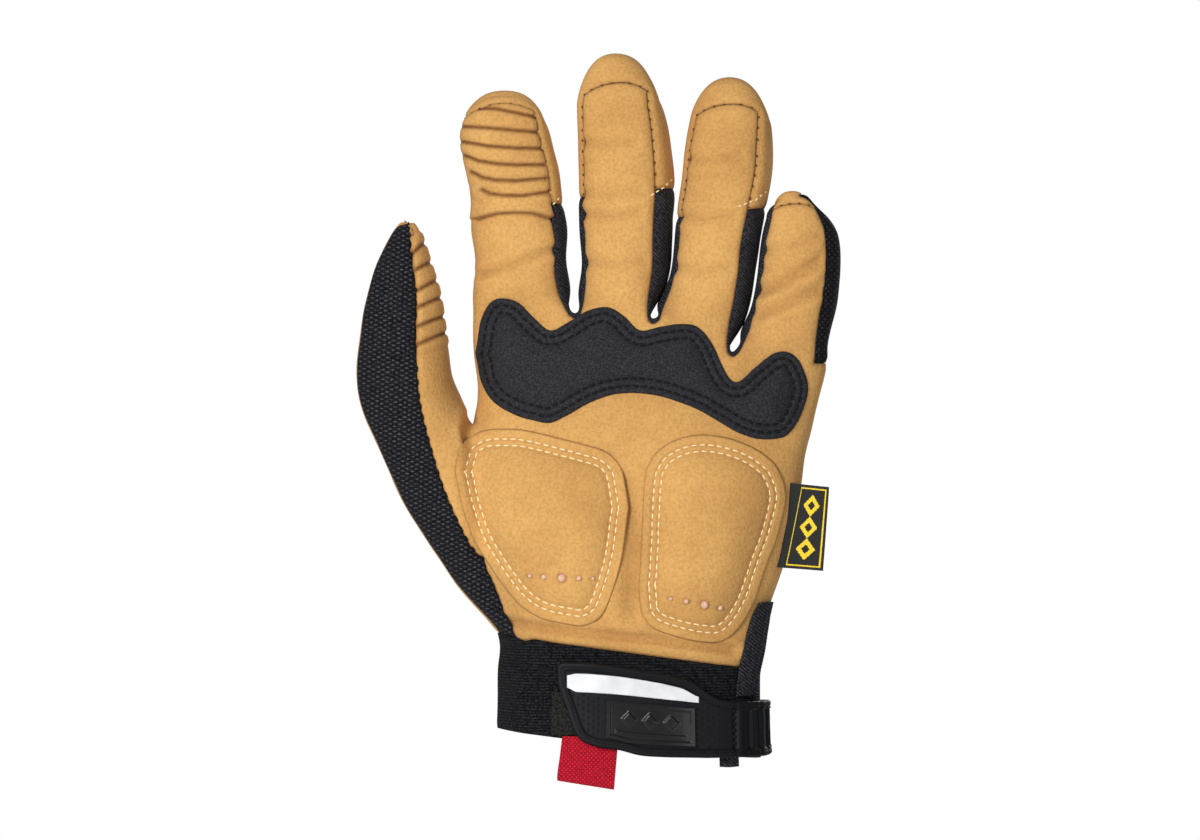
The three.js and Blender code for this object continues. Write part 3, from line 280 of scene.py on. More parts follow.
FINGERS = {
  "index": dict(
    line=0,
    wrap=190,
    seam=223.5,
    sections=[
      dict(z=158, x=-36.9, y=0, wide=33.6, deep=31, roll=3, slope=0, dome=0),
      dict(z=168, x=-37.1, y=-1, wide=31.4, deep=29, roll=4, slope=0, dome=0),
      dict(z=179, x=-37.8, y=-2.5, wide=33.2, deep=28.5, roll=4, slope=0, dome=0),
      dict(z=188, x=-38.6, y=-4, wide=31.8, deep=27, roll=4, slope=0, dome=0),
      dict(z=198, x=-39.6, y=-6, wide=31.6, deep=26.5, roll=4, slope=1, dome=0),
      dict(z=206, x=-41.6, y=-8, wide=31.4, deep=25.5, roll=4, slope=1, dome=0),
      dict(z=214, x=-42.8, y=-10.3, wide=30.2, deep=23.4, roll=4, slope=1, dome=1),
      dict(z=222.6, x=-43, y=-13, wide=27.4, deep=16.6, roll=4, slope=0, dome=5),
      dict(z=225.4, x=-43, y=-13, wide=23.4, deep=11, roll=4, slope=0, dome=4),
    ],
    tip=dict(z=226.7, x=-43, y=-13),
  ),
  "middle": dict(
    line=4,
    wrap=193,
    seam=231,
    sections=[
      dict(z=157, x=-2.5, y=1, wide=29.4, deep=30, roll=8, slope=0, dome=0),
      dict(z=167, x=-0.6, y=0.5, wide=30.8, deep=29.5, roll=14, slope=0, dome=0),
      dict(z=179, x=-0.6, y=-0.5, wide=32.4, deep=29, roll=16, slope=0, dome=0),
      dict(z=192, x=-0.3, y=-2, wide=33.2, deep=28.5, roll=16, slope=1.5, dome=0),
      dict(z=204, x=-0.9, y=-4, wide=32.8, deep=28, roll=15, slope=0, dome=0),
      dict(z=214, x=-1.7, y=-6, wide=31.6, deep=26.5, roll=14, slope=0, dome=0),
      dict(z=223, x=-2.8, y=-8, wide=29.8, deep=24, roll=12, slope=0, dome=1.5),
      dict(z=230, x=-3.3, y=-10, wide=28.4, deep=18.6, roll=10, slope=0, dome=6),
      dict(z=235.8, x=-3.7, y=-10.6, wide=24, deep=13, roll=8, slope=0, dome=5.5),
    ],
    tip=dict(z=239.1, x=-4, y=-10.4),
  ),
  "ring": dict(
    line=8,
    wrap=189,
    seam=224,
    sections=[
      dict(z=150, x=25.2, y=0, wide=30, deep=29, roll=8, slope=-3.5, dome=0),
      dict(z=160, x=28.8, y=0, wide=29.2, deep=28.5, roll=14, slope=-2, dome=0),
      dict(z=172, x=30.7, y=-1, wide=29.4, deep=28, roll=16, slope=0, dome=0),
      dict(z=185, x=32.4, y=-2.5, wide=31, deep=27.5, roll=16, slope=1.5, dome=0),
      dict(z=197, x=34.3, y=-4.5, wide=31.2, deep=27, roll=15, slope=0, dome=0),
      dict(z=206, x=35, y=-6, wide=30.8, deep=26, roll=14, slope=0, dome=0),
      dict(z=215, x=35.4, y=-8, wide=29, deep=23.6, roll=12, slope=0, dome=1),
      dict(z=222.6, x=35.3, y=-10, wide=27.6, deep=18.4, roll=10, slope=0, dome=5.5),
      dict(z=227.6, x=35.1, y=-10.6, wide=23.6, deep=12.6, roll=8, slope=0, dome=5),
    ],
    tip=dict(z=230.8, x=35, y=-10.4),
  ),
  "pinky": dict(
    line=12,
    wrap=400,
    seam=189,
    sections=[
      dict(z=142, x=54.4, y=-0.5, wide=30.4, deep=28, roll=6, slope=-2, dome=0),
      dict(z=151, x=57.3, y=-1, wide=30, deep=27.5, roll=12, slope=0, dome=0),
      dict(z=161, x=59.2, y=-2, wide=29.2, deep=26.5, roll=14, slope=0, dome=0),
      dict(z=170, x=59.8, y=-3.5, wide=28.2, deep=25, roll=14, slope=0, dome=0),
      dict(z=178, x=59.8, y=-5, wide=26, deep=22.5, roll=12, slope=0, dome=0),
      dict(z=184, x=59, y=-6.5, wide=22, deep=18, roll=10, slope=0, dome=1),
      dict(z=188.4, x=58, y=-7.7, wide=19, deep=13, roll=8, slope=0, dome=3),
      dict(z=191, x=57.5, y=-8, wide=13.6, deep=8.4, roll=6, slope=0, dome=2.5),
    ],
    tip=dict(z=192.2, x=57.3, y=-8),
  ),
}
THUMB = [
  dict(inX=-54.2, inZ=112.1, outX=-56.9, outZ=52.4, thick=43, y=-1, seam=106),
  dict(inX=-55.9, inZ=115.6, outX=-68.3, outZ=69, thick=43, y=-3, seam=98),
  dict(inX=-58.3, inZ=122.1, outX=-78, outZ=84.5, thick=41, y=-5, seam=89),
  dict(inX=-61, inZ=129, outX=-86.9, outZ=104.2, thick=38, y=-8, seam=81),
  dict(inX=-62.1, inZ=137.3, outX=-93.2, outZ=120.1, thick=35.5, y=-10, seam=73),
  dict(inX=-63.5, inZ=145.9, outX=-93.8, outZ=135.2, thick=33, y=-12, seam=70),
  dict(inX=-64.9, inZ=155.6, outX=-91.4, outZ=151.1, thick=31, y=-14, seam=68),
  dict(inX=-68, inZ=166.6, outX=-87.6, outZ=165.6, thick=27, y=-15, seam=69),
  dict(inX=-71.2, inZ=176.6, outX=-82.4, outZ=176.6, thick=18, y=-15.5, seam=74),
]

print("fingers:", list(FINGERS), "thumb rings:", len(THUMB))


# %% Reading between the rows of a table, and a rounded oval
def mix(a, b, t):
    return a + (b - a) * t


def smooth(a, b, c, d, t):
    m, n = (c - a) / 2, (d - b) / 2
    t2, t3 = t * t, t * t * t
    return (2 * t3 - 3 * t2 + 1) * b + (t3 - 2 * t2 + t) * m + (3 * t2 - 2 * t3) * c + (t3 - t2) * n


def between(table, at):
    last = len(table) - 1
    low = min(max(int(math.floor(at)), 0), last - 1)
    near = [table[min(max(low + k, 0), last)] for k in (-1, 0, 1, 2)]
    return {name: smooth(*(row[name] for row in near), at - low) for name in table[0]}


def oval(angle, half_wide, half_deep, square):
    c, s = math.cos(math.radians(angle)), math.sin(math.radians(angle))
    power = 2 / square
    return half_wide * math.copysign(abs(c) ** power, c), half_deep * math.copysign(abs(s) ** power, s)


def cuff_top(x):
    return CUFF_TOP_LEFT + CUFF_TOP_SLOPE * (x + 45)


def cuff_hem(x):
    return CUFF_HEM_LEFT + CUFF_HEM_SLOPE * (x + 45)


# %% Places of the rings round the palm and the cuff
def palm_ring(row, spread, height):
    middle, half = (row["left"] + row["right"]) / 2, (row["right"] - row["left"]) / 2
    last = middle + 0.93 * half

    def place(line, side):
        rooted = (ROOT_X[line] - ROOT_X[0]) / (ROOT_X[15] - ROOT_X[0])
        x = mix(row["corner"], last, mix(rooted, line / 15, spread))
        u = min(abs(x - middle) / half, 0.999)
        return Vector((x, side * row["deep"] * (1 - u**2.6) ** (1 / 2.6), height(x, line)))

    ring = [place(line, -1) for line in range(16)]
    right, left = middle + half * 0.995, middle - half * 0.995
    ring += [Vector((right, v * row["deep"], height(right, 15))) for v in (-0.2, 0.2)]
    ring += [place(line, 1) for line in range(15, -1, -1)]
    ring += [Vector((left, v * row["deep"], height(left, 0))) for v in (0.2, -0.2)]
    return ring


palm_places = [
    palm_ring(row, min(1, k / 4), lambda x, line, d=row["drop"]: mix(ROOT_Z[line], cuff_top(x), d))
    for k, row in enumerate(PALM_ROWS)
]
palm_places += [
    palm_ring(row, 1, lambda x, line, t=(k + 1) / 3: mix(cuff_top(x), cuff_hem(x), t))
    for k, row in enumerate(CUFF_ROWS)
]
print("palm and cuff rings:", len(palm_places))


# %% Places of the rings of a finger and of the thumb
FINGER_ANGLES = (-140, -107, -73, -40, -14, 14, 40, 73, 107, 140, 166, 194)


def finger_ring(cut):
    turn = -math.radians(cut["roll"])
    flat = [oval(angle, cut["wide"] / 2, cut["deep"] / 2, 2.3) for angle in FINGER_ANGLES]
    flat = [(x * math.cos(turn) - y * math.sin(turn), x * math.sin(turn) + y * math.cos(turn)) for x, y in flat]
    stretch = cut["wide"] / 2 / max(abs(x) for x, _ in flat)
    ring = []
    for x, y in flat:
        share = x * stretch / (cut["wide"] / 2)
        z = cut["z"] + cut["slope"] * share - cut["dome"] * share * share
        ring.append(Vector((cut["x"] + x * stretch, cut["y"] + y, z)))
    return ring


def thumb_ring(cut):
    inner, outer = Vector((cut["inX"], 0, cut["inZ"])), Vector((cut["outX"], 0, cut["outZ"]))
    middle, half = (inner + outer) / 2, (inner - outer).length / 2
    away = (inner - middle) / half
    seam = cut["seam"]
    front = [mix(25, seam, m / 3) if m < 3 else mix(seam, 155, (m - 3) / 4) for m in range(8)]
    ring = []
    for angle in (*front, 172, 188, *(-a for a in reversed(front)), -8, 8):
        along, up = oval(angle, half, cut["thick"] / 2, 2.2)
        ring.append(middle + away * along + Vector((0, cut["y"] - up, 0)))
    return ring


# %% The names of the panels, each a number on the faces of the skin
PANELS = (
    "palm_leather", "back_fabric", "sidewall_index_middle", "sidewall_middle_ring",
    "sidewall_ring_pinky", "index_tip", "middle_tip", "ring_tip", "pinky_tip",
    "thumb_knit", "thumb_back", "wrist_cuff",
)
SIDE_OF = {
    "index": (None, "sidewall_index_middle"),
    "middle": ("sidewall_index_middle", "sidewall_middle_ring"),
    "ring": ("sidewall_middle_ring", "sidewall_ring_pinky"),
    "pinky": ("sidewall_ring_pinky", None),
}


def finger_panel(name, m, z, wrap, seam):
    left, right = SIDE_OF[name]
    if name != "pinky" and z > seam:
        return name + "_tip"
    if m < 3:
        return "pinky_tip" if z > seam else "palm_leather"
    if z > wrap:
        return "palm_leather" if m > 9 and not left else name + "_tip"
    if m < 6:
        return right or "back_fabric"
    if m < 9:
        return "back_fabric"
    return left or ("palm_leather" if m > 9 else "back_fabric")


# %% Growing by extrusion: the new ring is found where the old one stood, then placed
cage = bmesh.new()
aim = {}


def spot(v):
    return tuple(round(c, 5) for c in v.co)


def same_places(made, old_ring):
    fresh = {spot(v): v for v in made if isinstance(v, bmesh.types.BMVert)}
    return [fresh[spot(v)] for v in old_ring]


def settle(ring, places):
    for v, place in zip(ring, places):
        v.co = place
        aim[v] = place.copy()


def name_walls(ring, old_ring, panel_of):
    for m in range(len(ring)):
        n = (m + 1) % len(ring)
        corners = {ring[m], ring[n], old_ring[m], old_ring[n]}
        for wall in ring[m].link_faces:
            if set(wall.verts) == corners:
                wall.material_index = PANELS.index(panel_of(m))


def push(block, ring, places, panel_of):
    grown = bmesh.ops.extrude_face_region(cage, geom=block)["geom"]
    old = [f for f in block if f.is_valid]
    if old:
        bmesh.ops.delete(cage, geom=old, context="FACES_ONLY")
    new_ring = same_places(grown, ring)
    settle(new_ring, places)
    name_walls(new_ring, ring, panel_of)
    return [f for f in grown if isinstance(f, bmesh.types.BMFace)], new_ring


# %% Grid across the finger roots, and the palm and cuff drawn down from it
bmesh.ops.create_grid(cage, x_segments=15, y_segments=3, size=0.5)
root = {(round((v.co.x + 0.5) * 15), round((v.co.y + 0.5) * 3)): v for v in cage.verts}
print("grid across the roots:", len(cage.verts), "points")
top_ring = [root[i, 0] for i in range(16)] + [root[15, 1], root[15, 2]]
top_ring += [root[i, 3] for i in range(15, -1, -1)] + [root[0, 2], root[0, 1]]
settle(top_ring, palm_places[0])
for (i, j), v in root.items():
    if 0 < i < 15 and j in (1, 2):
        front, back = root[i, 0].co, root[i, 3].co
        v.co = front.lerp(back, j / 3) + Vector((0, 0, 0.8))
        aim[v] = v.co.copy()
rings = [top_ring]
for k, places in enumerate(palm_places[1:]):
    above = rings[-1]
    edges = [e for e in cage.edges if e.is_boundary and set(e.verts) <= set(above)]
    grown = bmesh.ops.extrude_edge_only(cage, edges=edges)["geom"]
    ring = same_places(grown, above)
    settle(ring, places)

    def palm_panel(m, k=k):
        if k >= THUMB_LOW_ROW:
            return "wrist_cuff"
        return "palm_leather" if m < 17 or m > 33 else "back_fabric"

    name_walls(ring, above, palm_panel)
    rings.append(ring)

# %% The four fingers pushed up from the grid
GAP_PANELS = {3: "sidewall_index_middle", 7: "sidewall_middle_ring", 11: "sidewall_ring_pinky"}


def between_lines(face, first, last):
    own = {v for (i, j), v in root.items() if first <= i <= last}
    return set(face.verts) <= own


grid_faces = [f for f in cage.faces if set(f.verts) <= set(root.values())]
for line, panel in GAP_PANELS.items():
    for f in grid_faces:
        if between_lines(f, line, line + 1):
            f.material_index = PANELS.index(panel)

for name, finger in FINGERS.items():
    a = finger["line"]
    block = [f for f in grid_faces if f.is_valid and between_lines(f, a, a + 3)]
    ring = [root[a + k, 0] for k in range(4)] + [root[a + 3, 1], root[a + 3, 2]]
    ring += [root[a + 3 - k, 3] for k in range(4)] + [root[a, 2], root[a, 1]]
    low = ROOT_Z[a + 1]
    for cut in finger["sections"]:
        height = (low + cut["z"]) / 2
        low = cut["z"]
        panel_of = lambda m, h=height: finger_panel(name, m, h, finger["wrap"], finger["seam"])
        block, ring = push(block, ring, finger_ring(cut), panel_of)
    tip, reach = finger["tip"], finger["sections"][-1]
    for f in block:
        f.material_index = PANELS.index(name + "_tip")
        if name == "pinky" and set(f.verts) & {ring[4], ring[5]}:
            f.material_index = PANELS.index("back_fabric")
    for (i, j), beside in {(1, 1): (1, 11), (2, 1): (2, 4), (1, 2): (8, 10), (2, 2): (7, 5)}.items():
        near = [{e.other_vert(ring[k]) for e in ring[k].link_edges} for k in beside]
        inner = next(v for v in near[0] & near[1] if v not in ring)
        fall = 0.07 * (tip["z"] - reach["z"] + reach["dome"])
        place = Vector((tip["x"] + (i - 1.5) * reach["wide"] * 0.44, tip["y"] + (j - 1.5) * reach["deep"] * 0.5, tip["z"] - fall))
        settle([inner], [place])
print("cage after the fingers:", len(cage.faces), "faces")

# %% The thumb pushed out from the side
side = {v for row in rings[THUMB_TOP_ROW:THUMB_LOW_ROW + 1] for v in (row[0], row[33], row[34], row[35])}
block = [f for f in cage.faces if set(f.verts) <= side]
ring = [rings[k][0] for k in range(THUMB_TOP_ROW, THUMB_LOW_ROW + 1)]
ring += [rings[THUMB_LOW_ROW][35], rings[THUMB_LOW_ROW][34]]
ring += [rings[k][33] for k in range(THUMB_LOW_ROW, THUMB_TOP_ROW - 1, -1)]
ring += [rings[THUMB_TOP_ROW][34], rings[THUMB_TOP_ROW][35]]


def thumb_panel(m):
    if m < THUMB_SEAM or m > 16:
        return "palm_leather"
    return "thumb_knit" if m < 8 else "thumb_back"


for cut in THUMB:
    block, ring = push(block, ring, thumb_ring(cut), thumb_panel)
for k in range(1, 7):
    for j, beside in ((1, ring[k]), (2, ring[17 - k])):
        own = {v for f in block for v in f.verts} - set(ring)
        inner = next(e.other_vert(beside) for e in beside.link_edges if e.other_vert(beside) in own)
        place = Vector((THUMB_TIP[0] + (3.5 - k) * 1.15, THUMB_TIP[1] + (j - 1.5) * 4.6, THUMB_TIP[2] - abs(3.5 - k) * 0.35))
        settle([inner], [place])
for f in block:
    near = min(ring.index(v) if v in ring[:8] else 99 for v in f.verts)
    x = f.calc_center_median().x
    panel = "palm_leather" if x > THUMB_TIP[0] + 0.6 else ("thumb_knit" if near < 99 else "thumb_back")
    f.material_index = PANELS.index(panel)
loose = [v for v in cage.verts if not v.link_faces]
bmesh.ops.delete(cage, geom=loose, context="VERTS")
bmesh.ops.recalc_face_normals(cage, faces=cage.faces)
print("cage:", len(cage.verts), "points", len(cage.faces), "faces, open edges", sum(e.is_boundary for e in cage.edges))

# %% [markdown]
# A subdivided surface shrinks inside its cage. So that the finished skin passes through
# the places of the tables, each cage point is moved out by what the surface misses, five
# times over: the surface's final point under a cage point is a weighted mean of it, its
# neighbours and the far corners of its faces.

# %% Correct the cage, then subdivide it
def final_place(v):
    if v.is_boundary:
        ends = [e.other_vert(v).co for e in v.link_edges if e.is_boundary]
        return (v.co * 4 + ends[0] + ends[1]) / 6
    n = len(v.link_edges)
    near = sum((e.other_vert(v).co for e in v.link_edges), Vector())
    far = Vector()
    for f in v.link_faces:
        loop = next(q for q in f.loops if q.vert == v)
        far += loop.link_loop_next.link_loop_next.vert.co
    return (v.co * n * n + near * 4 + far) / (n * (n + 5))


for _ in range(5):
    miss = {v: aim[v] - final_place(v) for v in cage.verts if v in aim}
    for v, gap in miss.items():
        v.co += gap * 0.9
print("largest miss left, mm:", round(max((aim[v] - final_place(v)).length for v in miss), 3))

skin_mesh = bpy.data.meshes.new("hand_shape")
cage.to_mesh(skin_mesh)
shape = bpy.data.objects.new("hand_shape", skin_mesh)
bpy.context.scene.collection.objects.link(shape)
for panel in PANELS:
    skin_mesh.materials.append(bpy.data.materials.new("mark_" + panel))
finer = shape.modifiers.new("finer", "SUBSURF")
finer.levels = finer.render_levels = 3
finer.use_limit_surface = False
bpy.context.view_layer.update()
dense = bpy.data.meshes.new_from_object(shape.evaluated_get(bpy.context.evaluated_depsgraph_get()))
skin = bmesh.new()
skin.from_mesh(dense)
bpy.data.objects.remove(shape)
skin.normal_update()
skin_tree = BVHTree.FromBMesh(skin)
print("skin:", len(skin.faces), "faces; panels", len({f.material_index for f in skin.faces}))

# %% [markdown]
# From skin to panels. A sewn panel dips where it is stitched down and is full between its
# seams, so every panel's points sink close to its border. The moulded grooves of the
# index and thumb pads and the creases are lines across the front: points near a line
# sink and points between two grooves rise. Painted shade is stored along the same lines and beside each seam, where
# shadow would fall.

# %% Grooves and creases, as x and z of their points
INDEX_GROOVES = (
    ((-55.5, 221.2), (-45.9, 220.6), (-31.4, 217.7)),
    ((-59, 214.8), (-48.3, 213.9), (-38.3, 213.0), (-30.2, 212.5)),
    ((-59, 209.8), (-48.3, 207.7), (-38.3, 207.0), (-29.2, 207.0)),
    ((-58.5, 205.6), (-51.5, 202.7), (-44.9, 201.6), (-38.3, 201.2), (-28.9, 201.4)),
    ((-54.2, 199.1), (-50.5, 197.1), (-45.9, 196.1), (-38.3, 195.8), (-28.2, 196.8)),
    ((-50.5, 192.9), (-47.6, 191.5), (-43.3, 190.9), (-36.6, 190.7), (-26.6, 192.2)),
)
THUMB_GROOVES = (
    ((-74.5, 170.1), (-66, 178.6)),
    ((-74, 164.4), (-64, 170.0)),
    ((-74, 156.9), (-61.5, 164.1)),
    ((-74, 151.1), (-60.5, 157.6)),
    ((-74, 144.7), (-60, 150.6)),
    ((-74, 138.5), (-59, 145.2)),
)
FOLD = ((-52.5, 182.8), (-44.9, 184.6), (-38.3, 184.9), (-33.5, 184.7), (-28.4, 183.3), (-24, 183.6))
CREASES = (
    (((-51, 163.8), (-42, 166.5), (-26, 172)), 0.7, 1.6),
    (((-18, 209.5), (-8, 208), (2, 209)), 0.45, 1.8),
    (((-17, 192), (-8, 190.5), (4, 192)), 0.4, 1.8),
    (((-16.5, 184.6), (-6, 183), (4, 185)), 0.55, 1.5),
    (((-16, 168), (-6, 166.5), (5, 168)), 0.4, 2.0),
    (((17, 184), (26, 182.5), (36, 183.5)), 0.55, 1.6),
    (((19, 204), (28, 202.5), (38, 204)), 0.4, 1.8),
    (((17, 166), (26, 164.5), (34, 166)), 0.4, 2.0),
    (((47, 158), (55, 162), (66, 168)), 0.85, 1.9),
    (((46, 150), (54, 153), (66, 158)), 0.7, 1.8),
    (((48, 172), (57, 173.5), (66, 177)), 0.4, 1.7),
    (((-55.5, 114.5), (-56.5, 110), (-56, 106)), 0.8, 1.3),
    (((-2, 92), (1.5, 70), (0.5, 48)), 0.8, 3.2),
    (((-45, 44), (-20, 40.5), (10, 37.5), (36, 34)), 0.7, 1.6),
)


def distance_to_line(points, line):
    """Distance in x and z from many points to a line of points."""
    flat = points[:, (0, 2)]
    best = np.full(len(flat), 1e9)
    for (ax, az), (bx, bz) in zip(line, line[1:]):
        a, u = np.array((ax, az)), np.array((bx - ax, bz - az))
        t = np.clip(((flat - a) @ u) / (u @ u), 0, 1)
        best = np.minimum(best, np.linalg.norm(flat - a - t[:, None] * u, axis=1))
    return best


def hollow(distance, width):
    return np.exp(-((distance / width) ** 2))


def leather_relief(places, outward):
    # Besides the rise, each point gets painted shade: darker along the grooves, the fold and the creases, where shadow
    # falls.
    rise, painted_shade = np.zeros(len(places)), np.zeros(len(places))
    front = np.clip(0.3 - outward[:, 1] * 1.4, 0, 1)
    for grooves, width in ((INDEX_GROOVES, 0.8), (THUMB_GROOVES, 0.85)):
        away = np.min([distance_to_line(places, g) for g in grooves], axis=0)
        zone = np.clip((4.2 - away) / 1.2, 0, 1)
        share = front if grooves is INDEX_GROOVES else np.clip(0.5 + outward[:, 0] - outward[:, 1], 0, 1)
        rise += share * zone * 0.6 * (1 - hollow(away, width)) - share * 0.3 * hollow(away, width)
        painted_shade += share * 1.2 * hollow(away, width * 0.8)
    away = distance_to_line(places, FOLD)
    above = places[:, 2] > np.interp(places[:, 0], [p[0] for p in FOLD], [p[1] for p in FOLD])
    near = front * (np.abs(places[:, 0] + 38.5) < 16.5)
    rise += near * np.where(above, 1.7 * np.exp(-away / 3.5), -1.5 * np.exp(-away / 3.0))
    painted_shade += near * 0.9 * hollow(away, 0.8)
    for line, depth, width in CREASES:
        away = distance_to_line(places, line)
        rise -= front * depth * 1.7 * hollow(away, width)
        rise += front * depth * 0.9 * hollow(away - width * 1.9, width)
        painted_shade += front * 0.26 * min(1.0, depth * 1.4) * hollow(away, width * 0.8)
    return rise, painted_shade


# %% A finished piece: to metres, with its finish, its body and the solid it stands for
made_pieces = []


def piece(name, mesh, material, nodes=(), smooth=True, wall=0.0, bevel=0.0):
    bmesh.ops.scale(mesh, vec=(0.001, 0.001, 0.001), verts=mesh.verts)
    data = bpy.data.meshes.new(name)
    mesh.to_mesh(data)
    mesh.free()
    for kind in material if isinstance(material, (list, tuple)) else (material,):
        data.materials.append(kind)
    data.polygons.foreach_set("use_smooth", [smooth] * len(data.polygons))
    made = bpy.data.objects.new(name, data)
    bpy.context.scene.collection.objects.link(made)
    if bevel:
        soft = made.modifiers.new("soft_edge", "BEVEL")
        soft.width, soft.segments, soft.limit_method = bevel / 1000, 2, "ANGLE"
    if wall:
        thick = made.modifiers.new("wall", "SOLIDIFY")
        thick.thickness, thick.offset = wall / 1000, -1
    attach(made, "root")
    if nodes:
        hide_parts(*nodes)
    made_pieces.append(made)
    return made


# %% Take a panel out of the skin, sink its border, and give it its relief and its painted shade
def open_edge(mesh):
    return [v for v in mesh.verts if v.is_boundary]


def take_panel(panel, sink=0.5, reach=1.3, seam_shade=0.4, finer_zones=()):
    mesh = skin.copy()
    number = PANELS.index(panel)
    others = [f for f in mesh.faces if f.material_index != number]
    bmesh.ops.delete(mesh, geom=others, context="FACES")
    for f in mesh.faces:
        f.material_index = 0
    for low, high in finer_zones:
        edges = [e for e in mesh.edges
                 if all(low[k] <= v.co[k] <= high[k] for v in e.verts for k in range(3))]
        bmesh.ops.subdivide_edges(mesh, edges=edges, cuts=1, use_grid_fill=True)
    mesh.normal_update()
    mesh.verts.index_update()
    mesh.verts.ensure_lookup_table()
    rim = open_edge(mesh)
    tree = KDTree(len(rim))
    for k, v in enumerate(rim):
        tree.insert(v.co, k)
    tree.balance()
    places = np.array([v.co[:] for v in mesh.verts])
    normals = np.array([v.normal[:] for v in mesh.verts])
    away = np.array([tree.find(v.co)[2] for v in mesh.verts])
    rise = -sink * hollow(away, reach)
    # Painted shade beside the panel's seams, where its border sinks.
    painted_shade = seam_shade * hollow(away, 0.7)
    if panel == "palm_leather":
        more, shade = leather_relief(places, normals)
        rise, painted_shade = rise + more, painted_shade + shade
    wave = np.array([noise.noise(Vector(p) / 11.0) for p in places])
    rise += 0.28 * wave
    inward = {}
    for v in rim:
        inner = [e.other_vert(v).co - v.co for e in v.link_edges if not e.is_boundary]
        if inner:
            inward[v.index] = sum(inner, Vector()).normalized() * 0.12
    # The painted shade is kept on each point for the finishes to read.
    store = mesh.verts.layers.float.new("painted_shade")
    for v in mesh.verts:
        k = v.index
        v[store] = min(1.0, max(0.0, float(painted_shade[k])))
        v.co = Vector(places[k] + normals[k] * rise[k]) + inward.get(k, Vector())
    return mesh


# %% [markdown]
# The leather is cut finer where the grooves are, because a groove two millimetres wide
# needs several points across it. The other panels keep the spacing of the skin.

# %% The sewn panels
FINE_INDEX = ((-62, -40, 180), (-24, -2, 226))
FINE_THUMB = ((-82, -40, 134), (-56, 6, 180))
FINISH_OF = {
    "palm_leather": (tan, "tan_suede"),
    "back_fabric": (back_cloth, "back_cloth"),
    "sidewall_index_middle": (twill, "twill"),
    "sidewall_middle_ring": (twill, "twill"),
    "sidewall_ring_pinky": (twill, "twill"),
    "index_tip": (tan, "tan_suede"),
    "middle_tip": (tan, "tan_suede"),
    "ring_tip": (tan, "tan_suede"),
    "pinky_tip": (tan, "tan_suede"),
    "thumb_knit": (knit, "knit"),
    "thumb_back": (tan, "tan_suede"),
    "wrist_cuff": (elastic, "elastic"),
}
panel_trees = {}
for panel, (cloth, slot) in FINISH_OF.items():
    zones = (FINE_INDEX, FINE_THUMB) if panel == "palm_leather" else ()
    sink = 0.3 if panel in ("pinky_tip", "wrist_cuff") else 0.55
    mesh = take_panel(panel, sink=sink, finer_zones=zones)
    panel_trees[panel] = BVHTree.FromBMesh(mesh)
    made = piece(panel, mesh, cloth, (panel,), wall=1.3)
print("panels:", len(FINISH_OF), "pieces:", len(made_pieces))

# %% [markdown]
# The pads. On the glove a pad is a leather patch with foam under it: sewn flat along two
# rows of stitches, and full inside them. Cloth simulation could blow it up, but the height
# is known, so a grid is laid on the skin inside the outline and raised by its distance
# from the edge. The distance also gives the two sewn channels.

# %% Outlines of the pads
KNUCKLE_PATCH = [
  dict(x=-52.4, low=133, high=140),
  dict(x=-51, low=126.5, high=148),
  dict(x=-48, low=121, high=153.5),
  dict(x=-44, low=117.5, high=155.3),
  dict(x=-38, low=114.5, high=153.8),
  dict(x=-32.5, low=113, high=148.5),
  dict(x=-27, low=112.2, high=144.2),
  dict(x=-21, low=114.8, high=146.8),
  dict(x=-14, low=118.8, high=151),
  dict(x=-7, low=121.5, high=152.2),
  dict(x=-1.5, low=122.4, high=149.2),
  dict(x=4, low=122.4, high=144.2),
  dict(x=11, low=121.4, high=145.4),
  dict(x=18, low=119.2, high=146.4),
  dict(x=24, low=116.8, high=145.4),
  dict(x=29, low=114, high=139.6),
  dict(x=34, low=111, high=129),
  dict(x=38, low=108.8, high=126.4),
  dict(x=44, low=106.8, high=131.4),
  dict(x=50, low=106.6, high=136),
  dict(x=55, low=108, high=136.8),
  dict(x=59, low=113, high=134),
  dict(x=61.8, low=120, high=128),
]
HEEL_PAD_THUMB = [
  dict(x=-59, low=92, high=99),
  dict(x=-57, low=83, high=105),
  dict(x=-53, low=71.5, high=108.4),
  dict(x=-48, low=63, high=110),
  dict(x=-42, low=54.5, high=110.2),
  dict(x=-37, low=49, high=110),
  dict(x=-30, low=44.8, high=108.6),
  dict(x=-22, low=43, high=106.6),
  dict(x=-15, low=42.4, high=104.8),
  dict(x=-9, low=46, high=103),
  dict(x=-5, low=55, high=100.4),
  dict(x=-2, low=66, high=96),
  dict(x=-0.4, low=78, high=88),
]
HEEL_PAD_LITTLE = [
  dict(x=4.2, low=48, high=66),
  dict(x=5.5, low=44.8, high=92),
  dict(x=8, low=42, high=99.5),
  dict(x=12, low=40, high=104),
  dict(x=18, low=38.2, high=107),
  dict(x=25, low=36.8, high=108.2),
  dict(x=32, low=36.8, high=107.6),
  dict(x=38, low=41, high=106),
  dict(x=43.5, low=50, high=103.6),
  dict(x=48, low=63, high=100.6),
  dict(x=51.5, low=72, high=97),
  dict(x=54.2, low=82, high=91),
]
HOLES_THUMB = [
  dict(x=-33.8, z=59.6, radius=0.7),
  dict(x=-29, z=59.3, radius=0.9),
  dict(x=-22.8, z=59, radius=1.4),
  dict(x=-16.9, z=58.9, radius=0.9),
  dict(x=-12.1, z=58.8, radius=0.6),
]
HOLES_LITTLE = [
  dict(x=14.5, z=51.8, radius=0.7),
  dict(x=20, z=50.9, radius=0.9),
  dict(x=26.2, z=49.7, radius=1.4),
  dict(x=31.7, z=48.6, radius=0.9),
]

def smooth_row(table, at):
    ends = [dict(table[0]), *table, dict(table[-1])]
    for row, step in ((ends[0], -0.7), (ends[-1], 0.7)):
        row["x"] += step
        row["low"] = row["high"] = (row["low"] + row["high"]) / 2
    return between(ends, at * (len(ends) - 1))


